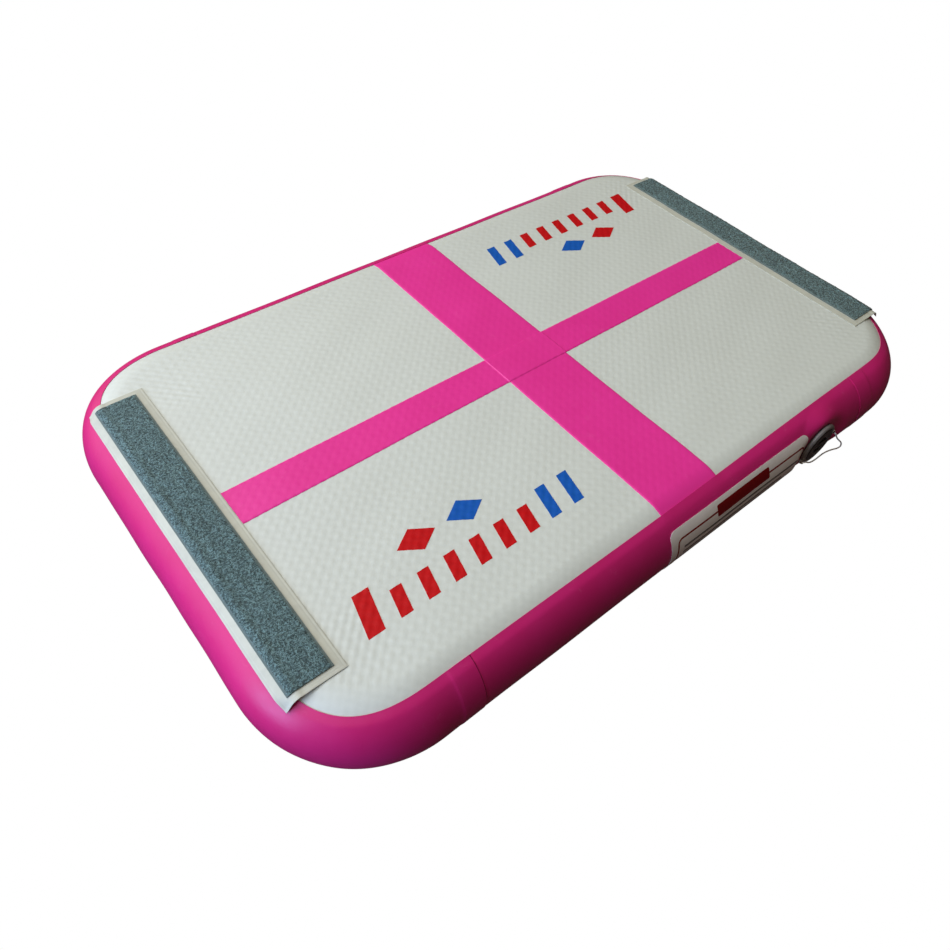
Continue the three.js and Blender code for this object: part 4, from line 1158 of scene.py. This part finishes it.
def make_label():
    """The white label with a plain frame line, a plain red block and plain grey lines."""
    film = wall_patch("label_film", label_low.x, LABEL_RIGHT_X, -LABEL_ANGLE, LABEL_ANGLE, corner=9 * MM,
                      raise_by=0, thickness=LABEL_THICKNESS)
    settle(film, WHITE_LABEL, "white_label", "label_patch")
    outline = wall_frame("label_frame", *FRAME, corner=6 * MM, line_width=2.2 * MM)
    settle(outline, DARK_RED_INK, "white_label")
    panel = wall_patch("label_block", *BLOCK, corner=2 * MM, raise_by=1.5 * INK_RAISE)
    settle(panel, DARK_RED_INK, "white_label")
    for k in range(LINE_COUNT):
        top = LINE_TOP - LINE_PITCH * k
        ends = (LINE_LEFT, LINE_RIGHT - LINE_INDENT * (k % 2))
        line = wall_patch(f"label_line_{k + 1}", *ends, top - LINE_HEIGHT, top, corner=0.4 * MM)
        settle(line, GREY_INK, "white_label")


# ---- Valve ------------

def rounded_profile(profile, radius=0.35, steps=3):
    """Rounds the corners of a closed outline of (radius, depth) points, except those on the axis."""
    points = [np.array(p, float) for p in profile]
    out = []
    for before, corner, after in zip([points[-1], *points], points, [*points[1:], points[0]]):
        if corner[0] < 1e-6:
            out.append(corner)
            continue
        to_before, to_after = before - corner, after - corner
        reach = min(radius, 0.45 * np.linalg.norm(to_before), 0.45 * np.linalg.norm(to_after))
        start = corner + to_before / np.linalg.norm(to_before) * reach
        end = corner + to_after / np.linalg.norm(to_after) * reach
        for t in np.linspace(0, 1, steps + 1):
            out.append((1 - t) ** 2 * start + 2 * t * (1 - t) * corner + t ** 2 * end)
    return out


def lathe(name, profile, steps=128, centre=VALVE_FACE, rounding=0.0):
    """A turned piece about the valve's axis, from (radius, depth) points in millimetres."""
    outline = np.array(rounded_profile(profile, rounding) if rounding else profile, float) * MM
    turn = 2 * np.pi * np.arange(steps) / steps
    radius, depth = outline[:, 0][None, :], outline[:, 1][None, :]
    across, up = radius * np.cos(turn)[:, None], radius * np.sin(turn)[:, None]
    grid = np.stack([across, depth + 0 * turn[:, None], up], axis=-1)
    grid = np.concatenate([grid, grid[:, :1]], axis=1) if outline[0, 0] > 0 else grid
    loop = np.arange(steps + 1) % steps
    return assembled(name, [grid[loop] + centre])


def on_face(radius, angle, depth):
    """A point from the valve's face centre: radius and depth in millimetres, angle from +X upward."""
    turn = math.radians(angle)
    return VALVE_FACE + MM * np.array([radius * math.cos(turn), depth, radius * math.sin(turn)])


def block(name, from_radius, to_radius, width, top, bottom, angle):
    """A box that reaches outward from the valve's axis. Radii, width and depths are in millimetres."""
    turn = math.radians(angle)
    out = np.array([math.cos(turn), 0, math.sin(turn)])
    side = np.array([-math.sin(turn), 0, math.cos(turn)])
    corners = [
        VALVE_FACE + MM * (r * out + s * width / 2 * side + np.array([0, d, 0]))
        for r in (from_radius, to_radius) for s in (-1, 1) for d in (top, bottom)
    ]
    faces = [(0, 1, 3, 2), (4, 6, 7, 5), (0, 4, 5, 1), (2, 3, 7, 6), (0, 2, 6, 4), (1, 5, 7, 3)]
    return new_object(name, np.array(corners), faces)


def peg(name, radius, top, bottom, at_radius, angle, rounding=0.0):
    """A round peg beside the valve's axis and parallel to it, in millimetres."""
    return lathe(name, [(0, top), (radius, top), (radius, bottom), (0, bottom)], 40,
                 on_face(at_radius, angle, 0), rounding)


THREAD_PITCH = 6.05     # the cap's travel along its axis for one turn


def thread(name, radius, top, bottom, wire, start=0.0):
    """A screw thread's ridge on a cylinder about the valve's axis, in millimetres."""
    across, along, up = MM * np.diag([radius, bottom - top, radius])
    turns = (bottom - top) / THREAD_PITCH
    return sweep(name, helix(on_face(0, 0, top), across, up, along, turns, 60, start), wire * MM, 10)


ARM_ANGLE = 17
LUG_ANGLE = 215


def make_valve_body():
    """Flange, threaded socket with the stem's guide and its spokes, and outer tube."""
    body = lathe("valve_housing", [
        (24.5, 0), (27.2, 0), (29, 1.8), (29, 4.5), (18, 4.5), (18, 34), (13.5, 34), (13.5, 14), (16, 14),
        (16, 3.6), (24.5, 3.6),
    ], 160, rounding=0.4)
    guide = lathe("guide", [(2.9, 28.5), (5.5, 28.5), (5.5, 34), (2.9, 34)], 48, rounding=0.2)
    spokes = [block("spoke", 4.7, 14.3, 2.2, 31, 33.9, 45 + 90 * k) for k in range(4)]
    lugs = [block("nozzle_lug", 12.1, 14.3, 5, 15, 17.5, 180 * k) for k in range(2)]
    ridge = thread("socket_thread", 16.1, 5.2, 12.8, 0.45, math.pi)
    tether_lug = peg("tether_lug", 3.2, 1.2, 4.4, 30.5, LUG_ANGLE, 0.35)
    combine(body, [guide, *spokes, *lugs, ridge, tether_lug], "UNION")
    slot = block("slot", 20.5, 30, 4.6, -1, 3.6, ARM_ANGLE)
    eye = peg("eye", 1.2, 0.2, 5.5, 31.5, LUG_ANGLE)
    combine(body, [slot, eye], "DIFFERENCE")
    settle(edge_rounded(body, 0.12 * MM), GREY_PLASTIC, "grey_plastic", "valve_body")


def make_valve_cap():
    """The screw cap: plate with a raised rim, two deep pockets either side of the grip bar, threaded plug."""
    cap = lathe("screw_cap", [
        (0, -0.5), (21.2, -0.5), (22.0, -0.8), (23.2, -0.8), (24, 0), (24, 1.9), (15.4, 1.9), (15.4, 11),
        (0, 11),
    ], 160, rounding=0.35)
    pocket = lathe("pocket", [(0, -2), (12.4, -2), (12.4, 8), (0, 8)], 96)
    bar = block("bar", -20, 20, 6, -4, 12, 0)
    combine(pocket, [bar], "DIFFERENCE")
    combine(cap, [pocket], "DIFFERENCE")
    ridge = thread("cap_thread", 15.35, 3.6, 9.8, 0.42)
    combine(cap, [ridge], "UNION")
    settle(edge_rounded(cap, 0.3 * MM, 3), BLACK_PLASTIC, "black_plastic", "valve_cap", body="cap")


def make_tether_ring():
    """The loose ring under the cap's plate, its arm and the post that the tether is tied to."""
    ring = lathe("cap_ring", [(15.8, 2.2), (20.5, 2.2), (20.5, 3.3), (15.8, 3.3)], 160, rounding=0.2)
    arm = block("arm", 19.7, 26.4, 4, 2.2, 3.3, ARM_ANGLE)
    post = peg("post", 1.7, -1.2, 3.3, 26.4, ARM_ANGLE, 0.3)
    combine(ring, [arm, post], "UNION")
    settle(edge_rounded(ring, 0.15 * MM), BLACK_PLASTIC, "black_plastic", "tether_ring", body="cap_carrier")


def finish_cad_nodes():
    """Finishes for the CAD nodes that stay: the core and the valve's inner pieces."""
    for name, material in (
        ("drop_stitch_core", RAW_CLOTH), ("valve_gasket", BLACK_RUBBER), ("valve_doubler", PINK_BAND_SHADED),
        ("valve_nut", GREY_PLASTIC), ("valve_stem", BLACK_PLASTIC), ("valve_spring", SPRING_STEEL),
        ("valve_diaphragm", BLACK_RUBBER), ("stem_clip", BLACK_PLASTIC), ("cap_seal", BLACK_RUBBER),
    ):
        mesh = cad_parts[name].data
        mesh.materials.clear()
        mesh.materials.append(material)


# ---- Studio ------------

FLOOR_SIZE = 40.0
FLOOR_LEVEL = -0.1 * MM
SEEN_GREY = (0.8, 0.8, 0.8)    # of the room beyond the floor, where the camera sees it


def make_floor():
    corners = [(x, y, FLOOR_LEVEL) for x, y in FLOOR_SIZE * QUARTERS]
    floor = new_object("floor", np.array(corners), [(0, 1, 2, 3)])
    made, _, shader = blank("pale_floor", Roughness=1.0, Specular_IOR_Level=0.0, Emission_Strength=1.0,
                            Base_Color=(0, 0, 0, 1), Emission_Color=(1, 1, 1, 1))
    floor.data.materials.append(made)
    floor.visible_diffuse = False
    floor.visible_glossy = False


def area_light(name, place_at, size, power, colour):
    """A square soft light that faces the mat."""
    lamp = bpy.data.lights.new(name, "AREA")
    lamp.size = size
    lamp.energy = power
    lamp.color = colour
    made = bpy.data.objects.new(name, lamp)
    made.location = place_at
    made.rotation_euler = (Vector((0, 0, MID_Z)) - Vector(place_at)).to_track_quat("-Z", "Y").to_euler()
    bpy.context.scene.collection.objects.link(made)


SKY_TOWARD = Vector((-0.45, 0.385, 0.60))    # the bright part of the studio: behind, above and to the left
SKY_EDGE = (0.41, 0.45, 0.54)    # where the bright part fades out, for red, green and blue
SKY_DARK = (0.032, 0.021, 0.019)
SKY_BRIGHT = (0.97, 1.02, 1.06)
SKY_STRENGTH = 1.8
# Place, size, power and colour of the soft lights.
LIGHTS = {
    "key": ((-0.80, 0.60, 1.25), 0.9, 8.9, (1.05, 1.04, 1.09)),
    "left_fill": ((-1.75, -0.10, 0.28), 0.8, 10, (0.62, 1.0, 1.85)),
}


def make_sky():
    """A bright soft patch that fades into a dark room, and plain grey where the camera sees it."""
    world = bpy.data.worlds.new("studio")
    world.use_nodes = True
    bpy.context.scene.world = world
    tree = world.node_tree
    toward = node(tree, "ShaderNodeTexCoord").outputs["Generated"]
    facing = node(tree, "ShaderNodeVectorMath", {0: toward, 1: SKY_TOWARD.normalized()},
                  operation="DOT_PRODUCT").outputs["Value"]
    light = node(tree, "ShaderNodeCombineColor")
    for channel, (edge, dark, bright) in enumerate(zip(SKY_EDGE, SKY_DARK, SKY_BRIGHT)):
        level = remap(tree, facing, edge, 1.0, dark, bright, "SMOOTHSTEP")
        tree.links.new(level, light.inputs[channel])
    seen = node(tree, "ShaderNodeLightPath").outputs["Is Camera Ray"]
    colour = mixed(tree, seen, light.outputs["Color"], SEEN_GREY)
    background = tree.nodes["Background"]
    tree.links.new(colour, background.inputs["Color"])
    background.inputs["Strength"].default_value = SKY_STRENGTH


# ---- Making ------------

make_camera()
make_tether()
make_sheet("top")
make_sheet("bottom")
make_inner_band()
for side, word in ((-1, "near"), (1, "far")):
    make_side_band(side, word)
    make_seam_painted_shadow(side, word)
for side, word in ((-1, "left"), (1, "right")):
    make_end_band(side, word)
    make_backing(side, word)
    make_loop_strip(side, word)
    make_prints(side, word)
make_cross_tape()
make_length_tape()
make_label()
make_valve_body()
make_valve_cap()
make_tether_ring()
finish_cad_nodes()
make_floor()
make_sky()
for name, (place_at, size, power, colour) in LIGHTS.items():
    area_light(name, place_at, size, power, colour)
bpy.context.scene.view_settings.view_transform = "Standard"
